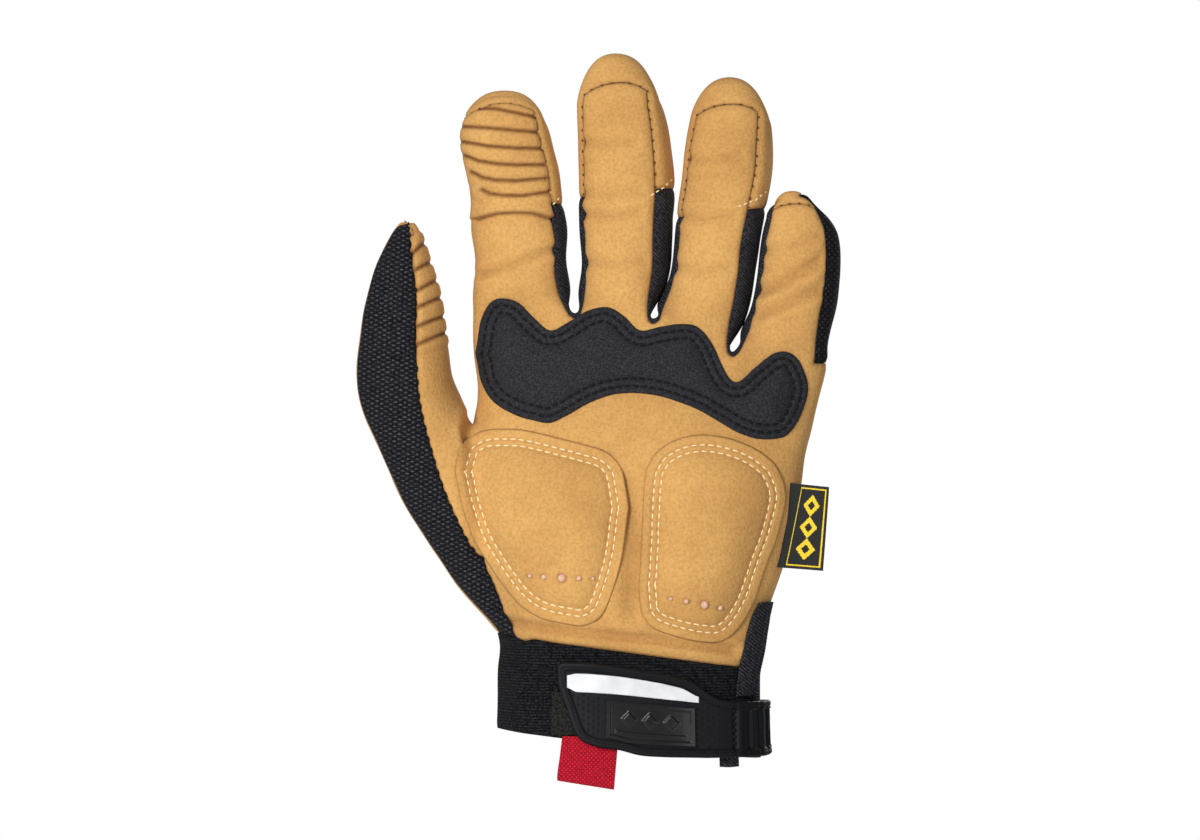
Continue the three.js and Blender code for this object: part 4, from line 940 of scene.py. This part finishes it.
def outline(table, count=160):
    upper = [smooth_row(table, k / count) for k in range(count + 1)]
    line = [(row["x"], row["high"]) for row in upper]
    return line + [(row["x"], row["low"]) for row in reversed(upper[1:-1])]


def edge_distance(line, points):
    flat = np.array(points)
    best = np.full(len(flat), 1e9)
    for (ax, az), (bx, bz) in zip(line, line[1:] + line[:1]):
        a, u = np.array((ax, az)), np.array((bx - ax, bz - az))
        t = np.clip(((flat - a) @ u) / max(u @ u, 1e-9), 0, 1)
        best = np.minimum(best, np.linalg.norm(flat - a - t[:, None] * u, axis=1))
    return best


def front_of(tree, x, z):
    for step in range(12):
        hit = tree.ray_cast(Vector((x * (1 - step * 0.008), -200, z)), Vector((0, 1, 0)))
        if hit[0] is not None:
            return hit[0], hit[1]
    return None, None


def grid_piece(long, high):
    mesh = bmesh.new()
    bmesh.ops.create_grid(mesh, x_segments=long, y_segments=high, size=0.5)
    mesh.verts.layers.float.new("painted_shade")
    mesh.verts.ensure_lookup_table()
    return mesh, [(v, v.co.x + 0.5, v.co.y + 0.5) for v in mesh.verts]


def close_ends(mesh):
    bmesh.ops.remove_doubles(mesh, verts=mesh.verts, dist=0.002)
    bmesh.ops.recalc_face_normals(mesh, faces=mesh.faces)
    mesh.normal_update()
    side = sum((f.normal * f.calc_area() for f in mesh.faces), Vector())
    if side.y > 0:
        bmesh.ops.reverse_faces(mesh, faces=mesh.faces)


def pad_height(away, spec):
    flange, rows, height, ramp = spec["flange"], spec["rows"], spec["height"], spec["ramp"]
    start = rows[-1] + 0.4
    swell = np.sin(np.clip((away - start) / ramp, 0, 1) * math.pi / 2) ** 0.85
    rise = flange * np.clip(away / 0.5, 0, 1) ** 0.5 + (height - flange) * swell
    for row in rows:
        rise -= 0.55 * hollow(away - row, 0.6)
    return rise


def lay_pad(table, spec, long, high):
    line = outline(table)
    mesh, marks = grid_piece(long, high)
    flat = []
    for v, s, t in marks:
        row = smooth_row(table, (1 - math.cos(math.pi * s)) / 2 * 0.35 + s * 0.65)
        share = (1 - math.cos(math.pi * t)) / 2 * 0.4 + t * 0.6
        flat.append((row["x"], mix(row["low"], row["high"], share)))
    away = edge_distance(line, flat)
    rise = pad_height(away, spec)
    store = mesh.verts.layers.float["painted_shade"]
    for (v, _, _), (x, z), d, h in zip(marks, flat, away, rise):
        ground, _ = front_of(skin_tree, x, z)
        uneven = 0.35 * noise.noise(Vector((x, 7, z)) / 13.0) * min(1, d / 8)
        v.co = Vector((x, ground.y - h - uneven - 0.25, z))
        sewn = sum(hollow(d - row, 0.55) for row in spec["rows"])
        # Painted shade in the two sewn channels and along the pad's edge.
        v[store] = min(1, 0.16 * sewn + 0.3 * hollow(d, 0.5))
    close_ends(mesh)
    return mesh, line


# %% Sewing: short stitches along a line
def resample(line, pitch, closed=True):
    path = [Vector(p) for p in line]
    if closed:
        path.append(path[0])
    spots, rest = [], 0.0
    for a, b in zip(path, path[1:]):
        long = (b - a).length
        while rest <= long and long > 1e-6:
            spots.append((a.lerp(b, rest / long), (b - a).normalized()))
            rest += pitch
        rest -= long
    return spots


def inset_line(line, inset):
    points = [Vector(p) for p in line]
    turn = sum(a.x * b.y - b.x * a.y for a, b in zip(points, points[1:] + points[:1]))
    side = 1 if turn > 0 else -1
    moved = []
    for k, p in enumerate(points):
        along = (points[(k + 1) % len(points)] - points[k - 1]).normalized()
        moved.append(p + Vector((-along.y, along.x)) * side * inset)
    far = edge_distance(line, [m[:] for m in moved])
    kept = [m for m, d in zip(moved, far) if d > inset - 0.12]
    return [kept[k] for k in range(0, len(kept), 2)]


bead = bmesh.new()
bmesh.ops.create_uvsphere(bead, u_segments=8, v_segments=5, radius=1.0, matrix=Matrix.Rotation(math.pi / 2, 4, "Y"))
one_stitch = bpy.data.meshes.new("one_stitch")
bead.to_mesh(one_stitch)
bead.free()


def add_stitch(mesh, place, along, out, long, thick):
    """One thread, an egg shape laid along the seam."""
    side = out.cross(along).normalized()
    out = along.cross(side).normalized()
    turned = Matrix((along * long / 2, side * thick / 2, out * thick / 2)).transposed().to_4x4()
    turned.translation = place
    copy = one_stitch.copy()
    copy.transform(turned)
    mesh.from_mesh(copy)
    bpy.data.meshes.remove(copy)


def sew_front(mesh, line, tree, pitch=2.9, long=2.2, thick=0.56, closed=True, lift=0.10):
    for spot_at, along in resample(line, pitch, closed):
        ahead, normal = front_of(tree, spot_at.x + along.x * 0.8, spot_at.y + along.y * 0.8)
        behind, _ = front_of(tree, spot_at.x - along.x * 0.8, spot_at.y - along.y * 0.8)
        middle, normal = front_of(tree, spot_at.x, spot_at.y)
        if None in (ahead, behind, middle) or (ahead - behind).length > 4 or normal.y > -0.05:
            continue
        out = normal if normal.y < 0 else -normal
        add_stitch(mesh, middle + out * lift, (ahead - behind).normalized(), out, long, thick)


# %% Lay the three pads and sew them
HEEL = dict(flange=1.25, rows=(3.6, 5.8), height=4.6, ramp=11.0)
KNUCKLE = dict(flange=1.25, rows=(2.4, 5.0), height=3.3, ramp=6.0)
PADS = (
    ("knuckle_patch", KNUCKLE_PATCH, KNUCKLE, 190, 60, black_suede, "black_suede"),
    ("heel_pad_thumb_side", HEEL_PAD_THUMB, HEEL, 110, 110, tan, "tan_suede"),
    ("heel_pad_little_finger_side", HEEL_PAD_LITTLE, HEEL, 100, 110, tan, "tan_suede"),
)
pad_seams = {black_suede: bmesh.new(), tan: bmesh.new()}
pad_trees = {}
for name, table, spec, long, high, cloth, slot in PADS:
    mesh, line = lay_pad(table, spec, long, high)
    pad_trees[name] = BVHTree.FromBMesh(mesh)
    for row in spec["rows"]:
        thick, lift = (0.58, 0.1) if cloth is tan else (0.95, 0.2)
        sew_front(pad_seams[cloth], inset_line(line, row), pad_trees[name], thick=thick, lift=lift)
    holes = {"heel_pad_thumb_side": HOLES_THUMB, "heel_pad_little_finger_side": HOLES_LITTLE}.get(name, ())
    for hole in holes:
        near = [v for v in mesh.verts if math.hypot(v.co.x - hole["x"], v.co.z - hole["z"]) < hole["radius"] * 2.2]
        store = mesh.verts.layers.float["painted_shade"]
        for v in near:
            d = math.hypot(v.co.x - hole["x"], v.co.z - hole["z"]) / hole["radius"]
            v.co.y += 0.9 * math.exp(-((d / 1.0) ** 4))
            # Painted shade in a ring at the rim of each hole.
            v[store] = max(v[store], 0.45 * math.exp(-(((d - 1.05) / 0.3) ** 2)))
    print(name, "faces", len(mesh.faces))
    piece(name, mesh, cloth, (name,), wall=0.9)

piece("knuckle_stitches", pad_seams[black_suede], dark_thread)
piece("heel_stitches", pad_seams[tan], cream_thread)

# %% [markdown]
# The holes of the heel pads show the pink lining. Each gets a small shallow disc at its
# bottom: a circle with its rim drawn back.

# %% Pink bottoms of the holes
spots = bmesh.new()
for name, holes in (("heel_pad_thumb_side", HOLES_THUMB), ("heel_pad_little_finger_side", HOLES_LITTLE)):
    for hole in holes:
        centre, normal = front_of(pad_trees[name], hole["x"], hole["z"])
        radius = hole["radius"] * 0.92
        turn = Matrix.Translation(centre + Vector((0, -0.02, 0))) @ Matrix.Rotation(math.pi / 2, 4, "X")
        made = bmesh.ops.create_circle(spots, cap_ends=True, segments=14, radius=radius, matrix=turn)
        rim = [f for f in spots.faces if set(f.verts) <= set(made["verts"])]
        deeper = bmesh.ops.extrude_face_region(spots, geom=rim)["geom"]
        for v in (g for g in deeper if isinstance(g, bmesh.types.BMVert)):
            v.co.y -= 0.12
bmesh.ops.recalc_face_normals(spots, faces=spots.faces)
piece("hole_bottoms", spots, pink_inside)

# %% [markdown]
# Seams of the fingers. The wrapped tips end in a short row of cream stitches, drawn as
# lines of x and z on the front. Along the other seams small dark stitches lie in the
# groove, so they follow the border of the two panels, which the skin already knows.

# %% Finger stitches
TIP_ENDS = (
    ((-25.6, 188.2), (-22.6, 191.4)),
    ((8.4, 191.2), (12.2, 193.6), (15.2, 196.6)),
    ((38.6, 187.2), (44.2, 189.4), (49.2, 193.6)),
)
SEAMS = [("palm_leather", tip) for tip in ("index_tip", "middle_tip", "ring_tip", "pinky_tip")]


def sew_seam(mesh, first, second, pitch=3.1, long=1.0, thick=0.48, lift=-0.2):
    """Stitches along the border of two panels, spaced by their distance from each other."""
    pair = {PANELS.index(first), PANELS.index(second)}
    taken = []
    for e in skin.edges:
        if {f.material_index for f in e.link_faces} == pair:
            a, b = (v.co for v in e.verts)
            middle = (a + b) / 2
            if all((middle - other).length > pitch for other in taken):
                taken.append(middle)
                out = (e.verts[0].normal + e.verts[1].normal).normalized()
                add_stitch(mesh, middle + out * lift, (b - a).normalized(), out, long, thick)


cream, dark = bmesh.new(), bmesh.new()
for line in TIP_ENDS:
    sew_front(cream, line, skin_tree, pitch=2.1, long=1.6, thick=0.6, closed=False)
for first, second in SEAMS:
    sew_seam(dark, first, second)
piece("tip_end_stitches", cream, cream_thread)
piece("tip_seam_stitches", dark, brown_thread)
knit_seam = bmesh.new()
sew_seam(knit_seam, "palm_leather", "thumb_knit", pitch=3.2, long=2.2, thick=0.7)
piece("knit_seam_stitches", knit_seam, dark_thread)
print("sewn")

# %% [markdown]
# The closure at the wrist. The moulded strap comes round from the little-finger side and
# lies on a patch of hooks. Everything here sits on the cuff, so each shape is given by its
# place round the wrist, its height and its distance out from the cuff, and one function
# turns the three into a point. A strap drawn flat and wrapped by a modifier would slide.

# %% Outlines on the cuff
LOOP_DROP = 11.5
LOOP_LEFT = -21.8
LOOP_WIDTH = 18.6
STRAP = [
  dict(x=-23, low=24, high=28.4),
  dict(x=-22, low=20, high=29.7),
  dict(x=-20, low=13.8, high=30),
  dict(x=-17.6, low=6.8, high=30),
  dict(x=-15.2, low=3.2, high=30),
  dict(x=-10, low=1, high=29.6),
  dict(x=-3, low=0, high=28.6),
  dict(x=4, low=-1.8, high=27.4),
  dict(x=11.7, low=-2.4, high=26.2),
  dict(x=19, low=-2.6, high=24.5),
  dict(x=22.5, low=-2.7, high=22.4),
  dict(x=25.4, low=-2.8, high=20),
  dict(x=28.8, low=-2.8, high=17.6),
  dict(x=33, low=-2.8, high=16.7),
  dict(x=38, low=-2.8, high=16.4),
  dict(count=15, low=-2.8, high=16.2),
  dict(count=16, low=-2.4, high=16),
  dict(count=17, low=-1.8, high=15.6),
  dict(count=18, low=-1, high=15.2),
  dict(count=19, low=0, high=15),
  dict(count=20, low=1, high=15),
  dict(count=21, low=2, high=15),
]
HOOK_PATCH = [
  dict(x=-25.6, low=5, high=19.6),
  dict(x=-18, low=5, high=19.8),
  dict(x=-10, low=5, high=20),
  dict(x=0, low=5, high=20),
  dict(x=10, low=5, high=20),
  dict(x=20, low=5, high=19.4),
]
LIGHT_PANEL = [
  dict(x=-19.8, low=21.4, high=25.6),
  dict(x=-17, low=20, high=26.2),
  dict(x=-10, low=19.6, high=25.9),
  dict(x=0, low=18.8, high=24.8),
  dict(x=11, low=17.6, high=22.9),
  dict(x=18, low=16.8, high=21),
  dict(x=23, low=16.2, high=18.2),
]
PLATE = [
  dict(x=-7.2, low=4.4, high=16.9),
  dict(x=0, low=2.6, high=16.3),
  dict(x=8, low=1.9, high=15.6),
  dict(x=15, low=1.5, high=15),
  dict(x=21.6, low=1.2, high=14.4),
]
LOOP_OUTLINE = [
  dict(off=0.3, z=4.6),
  dict(off=0.3, z=-3),
  dict(off=0.1, z=-9),
  dict(off=0.6, z=-LOOP_DROP),
  dict(off=1.55, z=-LOOP_DROP - 0.8),
  dict(off=2.5, z=-LOOP_DROP),
  dict(off=3, z=-9),
  dict(off=2.8, z=-3),
  dict(off=2.8, z=4.6),
  dict(off=1.8, z=4.6),
  dict(off=1.8, z=-3),
  dict(off=2, z=-9),
  dict(off=1.55, z=-LOOP_DROP + 0.6),
  dict(off=1.1, z=-9),
  dict(off=1.3, z=-3),
  dict(off=1.3, z=4.6),
]
BINDING = [
  dict(z=18, first=13.9, last=15.3),
  dict(z=25, first=14, last=15.5),
  dict(z=32, first=14.15, last=15.8),
  dict(z=39, first=14.35, last=16),
  dict(z=45, first=14.55, last=16.1),
  dict(z=50, first=14.8, last=16),
]
LABEL = [
  dict(z=61, near=46, far=67.4),
  dict(z=68, near=48, far=67.9),
  dict(z=75, near=50, far=68.4),
  dict(z=82, near=52, far=68.9),
  dict(z=90, near=54, far=69.4),
]
TAB = [
  dict(x=31, low=-6.2, high=1),
  dict(x=34, low=-6.4, high=1),
  dict(x=37, low=-6.2, high=1),
]


def cuff_count(x):
    row = CUFF_ROWS[1]
    last = (row["left"] + row["right"]) / 2 + 0.93 * (row["right"] - row["left"]) / 2
    return 15 * (x - row["corner"]) / (last - row["corner"])


def cuff_point(m, z):
    low = math.floor(m)
    found = []
    for ring in palm_places[13:4:-1]:
        found.append(smooth(*(ring[(low + k) % 36] for k in (-1, 0, 1, 2)), m - low))
        if found[-1].z >= z and len(found) > 1:
            break
    above, under = found[-1], found[-2]
    return above.lerp(under, (above.z - z) / (above.z - under.z))


def cuff_place(m, z, off=0.0):
    along = cuff_point(m + 0.12, z) - cuff_point(m - 0.12, z)
    return cuff_point(m, z) + Vector((along.y, -along.x, 0)).normalized() * off


def count_of(row):
    return row["count"] if "count" in row else cuff_count(row["x"])


def edges_at(table, m):
    counts = [count_of(row) for row in table]
    heights = [dict(low=row["low"], high=row["high"]) for row in table]
    return between(heights, float(np.interp(m, counts, range(len(counts)))))


def table_places(table, long, high):
    """A grid over the table's outline: each point with its count, height and two shares."""
    first, last = count_of(table[0]), count_of(table[-1])
    mesh, marks = grid_piece(long, high)
    places = []
    for v, s, t in marks:
        m = mix(first, last, s)
        edge = edges_at(table, m)
        places.append((v, m, mix(edge["low"], edge["high"], t), s, t))
    return mesh, places


def face_forward(mesh):
    bmesh.ops.recalc_face_normals(mesh, faces=mesh.faces)
    mesh.normal_update()
    if sum((f.normal * f.calc_area() for f in mesh.faces), Vector()).y > 0:
        bmesh.ops.reverse_faces(mesh, faces=mesh.faces)
    return mesh


def cuff_sheet(table, long, high, off_at):
    mesh, places = table_places(table, long, high)
    for v, m, z, s, t in places:
        v.co = cuff_place(m, z, off_at(m, z, s, t))
    return face_forward(mesh)


def strap_under(m):
    return mix(3.1, 0.35, min(1, max(0, (m - 14) / 2.4)))


def strap_face(m):
    return strap_under(m) + 2.4


# %% [markdown]
# The strap's own relief: a raised rim all round, four grooves where it bends round the
# wrist, and two fields of small studs. Rim and grooves are part of the sheet. Each stud is
# a low dome of few faces, coloured near black as painted shade so it reads as a small hole.

# %% The strap
strap_counts = np.linspace(count_of(STRAP[0]), count_of(STRAP[-1]), 140).tolist()
steps = [0.0]
for a, b in zip(strap_counts, strap_counts[1:]):
    steps.append(steps[-1] + (cuff_point(b, 12) - cuff_point(a, 12)).length)


def along_strap(m):
    return float(np.interp(m, strap_counts, steps))


def flat_outline(table, count=90):
    marks = [mix(count_of(table[0]), count_of(table[-1]), k / count) for k in range(count + 1)]
    line = [(along_strap(m), edges_at(table, m)["high"]) for m in marks]
    return line + [(along_strap(m), edges_at(table, m)["low"]) for m in reversed(marks)]


strap_line = flat_outline(STRAP)
GROOVES_AT = [along_strap(cuff_count(34.2)) + 5.0 * k for k in range(9)]


def strap_rise(m, far, away):
    edge = min(1, away / 0.55)
    rise = 0.8 * min(1, max(0, (2.9 - away) / 0.5)) - 0.55 * (1 - math.sqrt(max(0, 1 - (1 - edge) ** 2)))
    rise -= 0.3 * math.exp(-(((away - 2.0) / 0.25) ** 2))
    inner = min(1, max(0, (away - 2.2) / 0.6))
    for groove in GROOVES_AT:
        rise -= (0.25 + 0.55 * inner) * math.exp(-(((far - groove) / 0.6) ** 4))
        rise += 0.45 * inner * math.exp(-(((far - groove - 1.7) / 0.9) ** 4))
    return min(rise, 0.2) if abs(m - count_of(STRAP[0])) < 1e-6 else rise


strap, places = table_places(STRAP, 300, 56)
flat = [(along_strap(m), z) for _, m, z, _, _ in places]
for (v, m, z, _, _), (far, _), away in zip(places, flat, edge_distance(strap_line, flat)):
    v.co = cuff_place(m, z, strap_face(m) + strap_rise(m, far, float(away)))
face_forward(strap)
strap_tree = BVHTree.FromBMesh(strap)
piece("closure_strap", strap, rubber, ("closure_strap",), wall=2.3)

spots_at = []
for first, last, low, high in ((-18.0, -8.4, 3.4, 19.6), (22.6, 34.0, -1.2, 16.0)):
    counts = np.arange(cuff_count(first), cuff_count(last), 0.30).tolist()
    for k, m in enumerate(counts):
        spots_at += [(m, z) for z in np.arange(low + 1.1 * (k % 2), high, 2.2).tolist()]
studs = bmesh.new()
bead = bmesh.new()
bmesh.ops.create_cone(bead, cap_ends=True, segments=8, radius1=1.0, radius2=0.45, depth=1.0)
one_stud = bpy.data.meshes.new("one_stud")
bead.to_mesh(one_stud)
bead.free()
for (m, z), away in zip(spots_at, edge_distance(strap_line, [(along_strap(m), z) for m, z in spots_at])):
    white = edges_at(LIGHT_PANEL, m)
    plated = PLATE[0]["x"] - 0.8 < cuff_point(m, z).x < PLATE[-1]["x"] + 0.8
    if away > 3.4 and not plated and not white["low"] - 0.9 < z < white["high"] + 0.9:
        base, out = cuff_place(m, z, strap_face(m)), cuff_place(m, z, strap_face(m) + 1)
        dome = Matrix.Translation(base) @ (out - base).to_track_quat("Z", "Y").to_matrix().to_4x4()
        copy = one_stud.copy()
        copy.transform(dome @ Matrix.Diagonal((0.56, 0.78, 0.5, 1)))
        studs.from_mesh(copy)
        bpy.data.meshes.remove(copy)
# The studs carry painted shade: near black, standing in for the shadow inside the strap's small holes.
piece("strap_studs", studs, rubber_painted_shade, smooth=False)
print("strap long", round(steps[-1], 1), "studs tried", len(spots_at))


# %% Patch of hooks, light panel and plate
def hook_off(m, z, s, t):
    return 2.4 + 0.35 * noise.noise(Vector((m * 9, 0, z * 1.7)))


piece("hook_patch", cuff_sheet(HOOK_PATCH, 110, 40, hook_off), hook_loops, ("hook_patch",), wall=2.0)


def light_off(m, z, s, t):
    crease = 0.12 * noise.noise(Vector((m * 1.3, 4, z * 0.5)))
    return strap_face(m) + 0.72 + crease


piece("reflective_panel", cuff_sheet(LIGHT_PANEL, 120, 12, light_off), light_sheet,
      ("reflective_panel",), wall=0.42)


# %% [markdown]
# The plate carries a plain row of lozenges inside a raised border.
#
# A lozenge is where the sum of the two distances from its middle is small.

# %% The plate
def plate_off(m, z, s, t):
    border = min(s * 29.0, (1 - s) * 29.0, t * 12.6, (1 - t) * 12.6)
    rise = 0.45 * min(1, max(0, (1.5 - border) / 0.35))
    for k in range(3):
        far = abs(s - (0.26 + 0.24 * k)) / 0.105 + abs(t - 0.58) / 0.25
        shoulder = min(1, max(0, (1.0 - far) * 2.2))
        rise += 0.45 * shoulder * shoulder * (3 - 2 * shoulder)
    if 0.1 < s < 0.9 and 0.16 < t < 0.27:
        rise += 0.22
    return strap_face(m) + 0.85 + rise


piece("strap_plate", cuff_sheet(PLATE, 150, 66, plate_off), plate_gloss, ("strap_plate",), wall=0.5)

# %% [markdown]
# The pull loop is a folded piece of red webbing, nineteen millimetres wide. Its folded
# outline is swept across its width, with the points of each cut joined to the next.

# %% The red pull loop
loop = bmesh.new()
cuts = []
for k in range(25):
    cut = []
    for j in range(len(LOOP_OUTLINE) * 4):
        spot_at = [LOOP_OUTLINE[(j // 4 + i) % len(LOOP_OUTLINE)] for i in (-1, 0, 1, 2)]
        t = (j % 4) / 4
        off = mix(spot_at[1]["off"], spot_at[2]["off"], t)
        z = mix(spot_at[1]["z"], spot_at[2]["z"], t)
        x = LOOP_LEFT + LOOP_WIDTH * k / 24 + (z - 4.6) * 0.08
        z -= 0.16 * LOOP_WIDTH * (k / 24 - 0.5) * min(1, max(0, (1 - z) / 10))
        wave = 0.10 * math.sin(k * 1.3 + z * 0.5)
        cut.append(loop.verts.new(cuff_place(cuff_count(x), z, max(0.1, off + wave))))
    cuts.append(cut)
for a, b in zip(cuts, cuts[1:]):
    edges = [loop.edges.get(p) or loop.edges.new(p) for line in (a, b) for p in zip(line, line[1:] + line[:1])]
    bmesh.ops.bridge_loops(loop, edges=edges)
bmesh.ops.holes_fill(loop, edges=[e for e in loop.edges if e.is_boundary], sides=0)
bmesh.ops.recalc_face_normals(loop, faces=loop.faces)
made = piece("pull_loop", loop, red_webbing, ("pull_loop",), bevel=0.25)

# %% Tab at the hem and binding of the slit
piece("hem_tab", cuff_sheet(TAB, 14, 16, lambda m, z, s, t: 1.35), binding_tape, ("hem_tab",), wall=1.0)

binding_rows = [dict(count=row["z"], low=row["first"], high=row["last"]) for row in BINDING]
mesh, marks = grid_piece(26, 90)
for v, s, t in marks:
    z = mix(binding_rows[0]["count"], binding_rows[-1]["count"], t)
    edge = edges_at(binding_rows, z)
    round_edge = (1 - abs(2 * s - 1) ** 4) * 0.55 - 0.35 * hollow(s - 0.72, 0.06)
    v.co = cuff_place(mix(edge["low"], edge["high"], s), z, 1.15 + round_edge)
bmesh.ops.recalc_face_normals(mesh, faces=mesh.faces)
mesh.normal_update()
if sum((f.normal for f in mesh.faces), Vector()).y > 0:
    bmesh.ops.reverse_faces(mesh, faces=mesh.faces)
binding_tree = BVHTree.FromBMesh(mesh)
piece("vent_binding", mesh, binding_tape, ("vent_binding",), wall=0.9)

seam = bmesh.new()
ends = []
for k in range(46):
    z = mix(20, 48.5, k / 45)
    edge = edges_at(binding_rows, z)
    ends.append(cuff_place(mix(edge["low"], edge["high"], 0.72), z, 0).xz)
sew_front(seam, ends, binding_tree, pitch=2.1, long=1.5, thick=0.5, closed=False)
lower = [cuff_point(m, edges_at(STRAP, m)["low"] + 1.5).xz for m in np.linspace(4.6, 15.2, 90).tolist()]
sew_front(seam, lower, strap_tree, pitch=3.1, long=2.2, thick=0.5, closed=False)
piece("wrist_stitches", seam, dark_thread)

# %% [markdown]
# The side label is a folded ribbon caught in the seam. It has a thin yellow border and a
# plain pattern of yellow diamonds. It bends a little away from the palm.

# %% Side label
label_rows = [dict(count=row["z"], low=row["near"], high=row["far"]) for row in LABEL]


def label_place(s, t, off):
    z = mix(label_rows[0]["count"], label_rows[-1]["count"], t)
    edge = edges_at(label_rows, z)
    y = -12 - off + 0.9 * math.sin(3.1 * s) - 1.2 * s
    return Vector((mix(edge["low"], edge["high"], s), y, z + (1 - s) * 1.6))


def label_yellow_at(s, t):
    inside = (s - 0.35) / 0.65
    rim = min(inside * 15.5, (1 - inside) * 15.5, t * 29, (1 - t) * 29)
    if 1.0 < rim < 1.55:
        return True
    return any(abs(inside - 0.5) / 0.26 + abs(t - c) / 0.13 < 1 and
               abs(inside - 0.5) / 0.26 + abs(t - c) / 0.13 > 0.45 for c in (0.24, 0.5, 0.76))


mesh, marks = grid_piece(70, 120)
for v, s, t in marks:
    v.co = label_place(s, t, 0.45)
for f in mesh.faces:
    middle = f.calc_center_median()
    edge = edges_at(label_rows, min(90, max(61, middle.z - 0.8)))
    s = (middle.x - edge["low"]) / (edge["high"] - edge["low"])
    f.material_index = int(label_yellow_at(s, (middle.z - (1 - s) * 1.6 - 61) / 29))
mesh.normal_update()
if sum((f.normal for f in mesh.faces), Vector()).y > 0:
    bmesh.ops.reverse_faces(mesh, faces=mesh.faces)
made = piece("side_label", mesh, (label_cloth, label_yellow), ("side_label",), wall=0.8)
print("trims made, pieces:", len(made_pieces))

# %% [markdown]
# A small pale floor well below the glove, which a stand or a hand holds up, and a white
# surround. Two large soft lights from the front keep the shadows weak, as in the picture,
# and one from above shapes the fingertips.

# %% Floor
ground = bmesh.new()
bmesh.ops.create_grid(ground, x_segments=2, y_segments=2, size=0.7)
bmesh.ops.translate(ground, vec=(0, 0, -0.2), verts=ground.verts)
ground_mesh = bpy.data.meshes.new("floor")
ground.to_mesh(ground_mesh)
ground.free()
pale, nodes, links, shader = finish("pale_floor", (0.86, 0.86, 0.86), 0.9)
ground_mesh.materials.append(pale)
floor = bpy.data.objects.new("floor", ground_mesh)
bpy.context.scene.collection.objects.link(floor)

# %% Lights and surround
world = bpy.data.worlds.new("white_surround")
bpy.context.scene.world = world
world.use_nodes = True
nodes, links = world.node_tree.nodes, world.node_tree.links
seen, lit = nodes["Background"], nodes.new("ShaderNodeBackground")
seen.inputs["Color"].default_value = (1, 1, 1, 1)
seen.inputs["Strength"].default_value = 1.0
lit.inputs["Color"].default_value = (0.96, 0.98, 1.0, 1)
lit.inputs["Strength"].default_value = 0.20
path = nodes.new("ShaderNodeLightPath")
choose = nodes.new("ShaderNodeMixShader")
links.new(path.outputs["Is Camera Ray"], choose.inputs["Fac"])
links.new(lit.outputs["Background"], choose.inputs[1])
links.new(seen.outputs["Background"], choose.inputs[2])
links.new(choose.outputs["Shader"], nodes["World Output"].inputs["Surface"])

LIGHTS = (
    ("key_light", (-0.46, -0.98, 0.28), 0.32, 8.8),
    ("fill_light", (0.85, -1.3, -0.1), 0.9, 5.2),
    ("top_light", (-0.2, -0.2, 1.2), 0.6, 2.0),
    ("back_light", (0.5, 1.3, 0.5), 0.8, 6.0),
)
for name, place, size, power in LIGHTS:
    lamp = bpy.data.lights.new(name, "AREA")
    lamp.size, lamp.energy = size, power
    made = bpy.data.objects.new(name, lamp)
    made.location = place
    made.rotation_euler = (Vector((0, 0, 0.11)) - Vector(place)).to_track_quat("-Z", "Y").to_euler()
    bpy.context.scene.collection.objects.link(made)
bpy.context.scene.view_settings.view_transform = "Standard"

# %% Check that every piece has its finishes
for made in made_pieces:
    for kind in made.data.materials:
        assert kind is not None, made.name
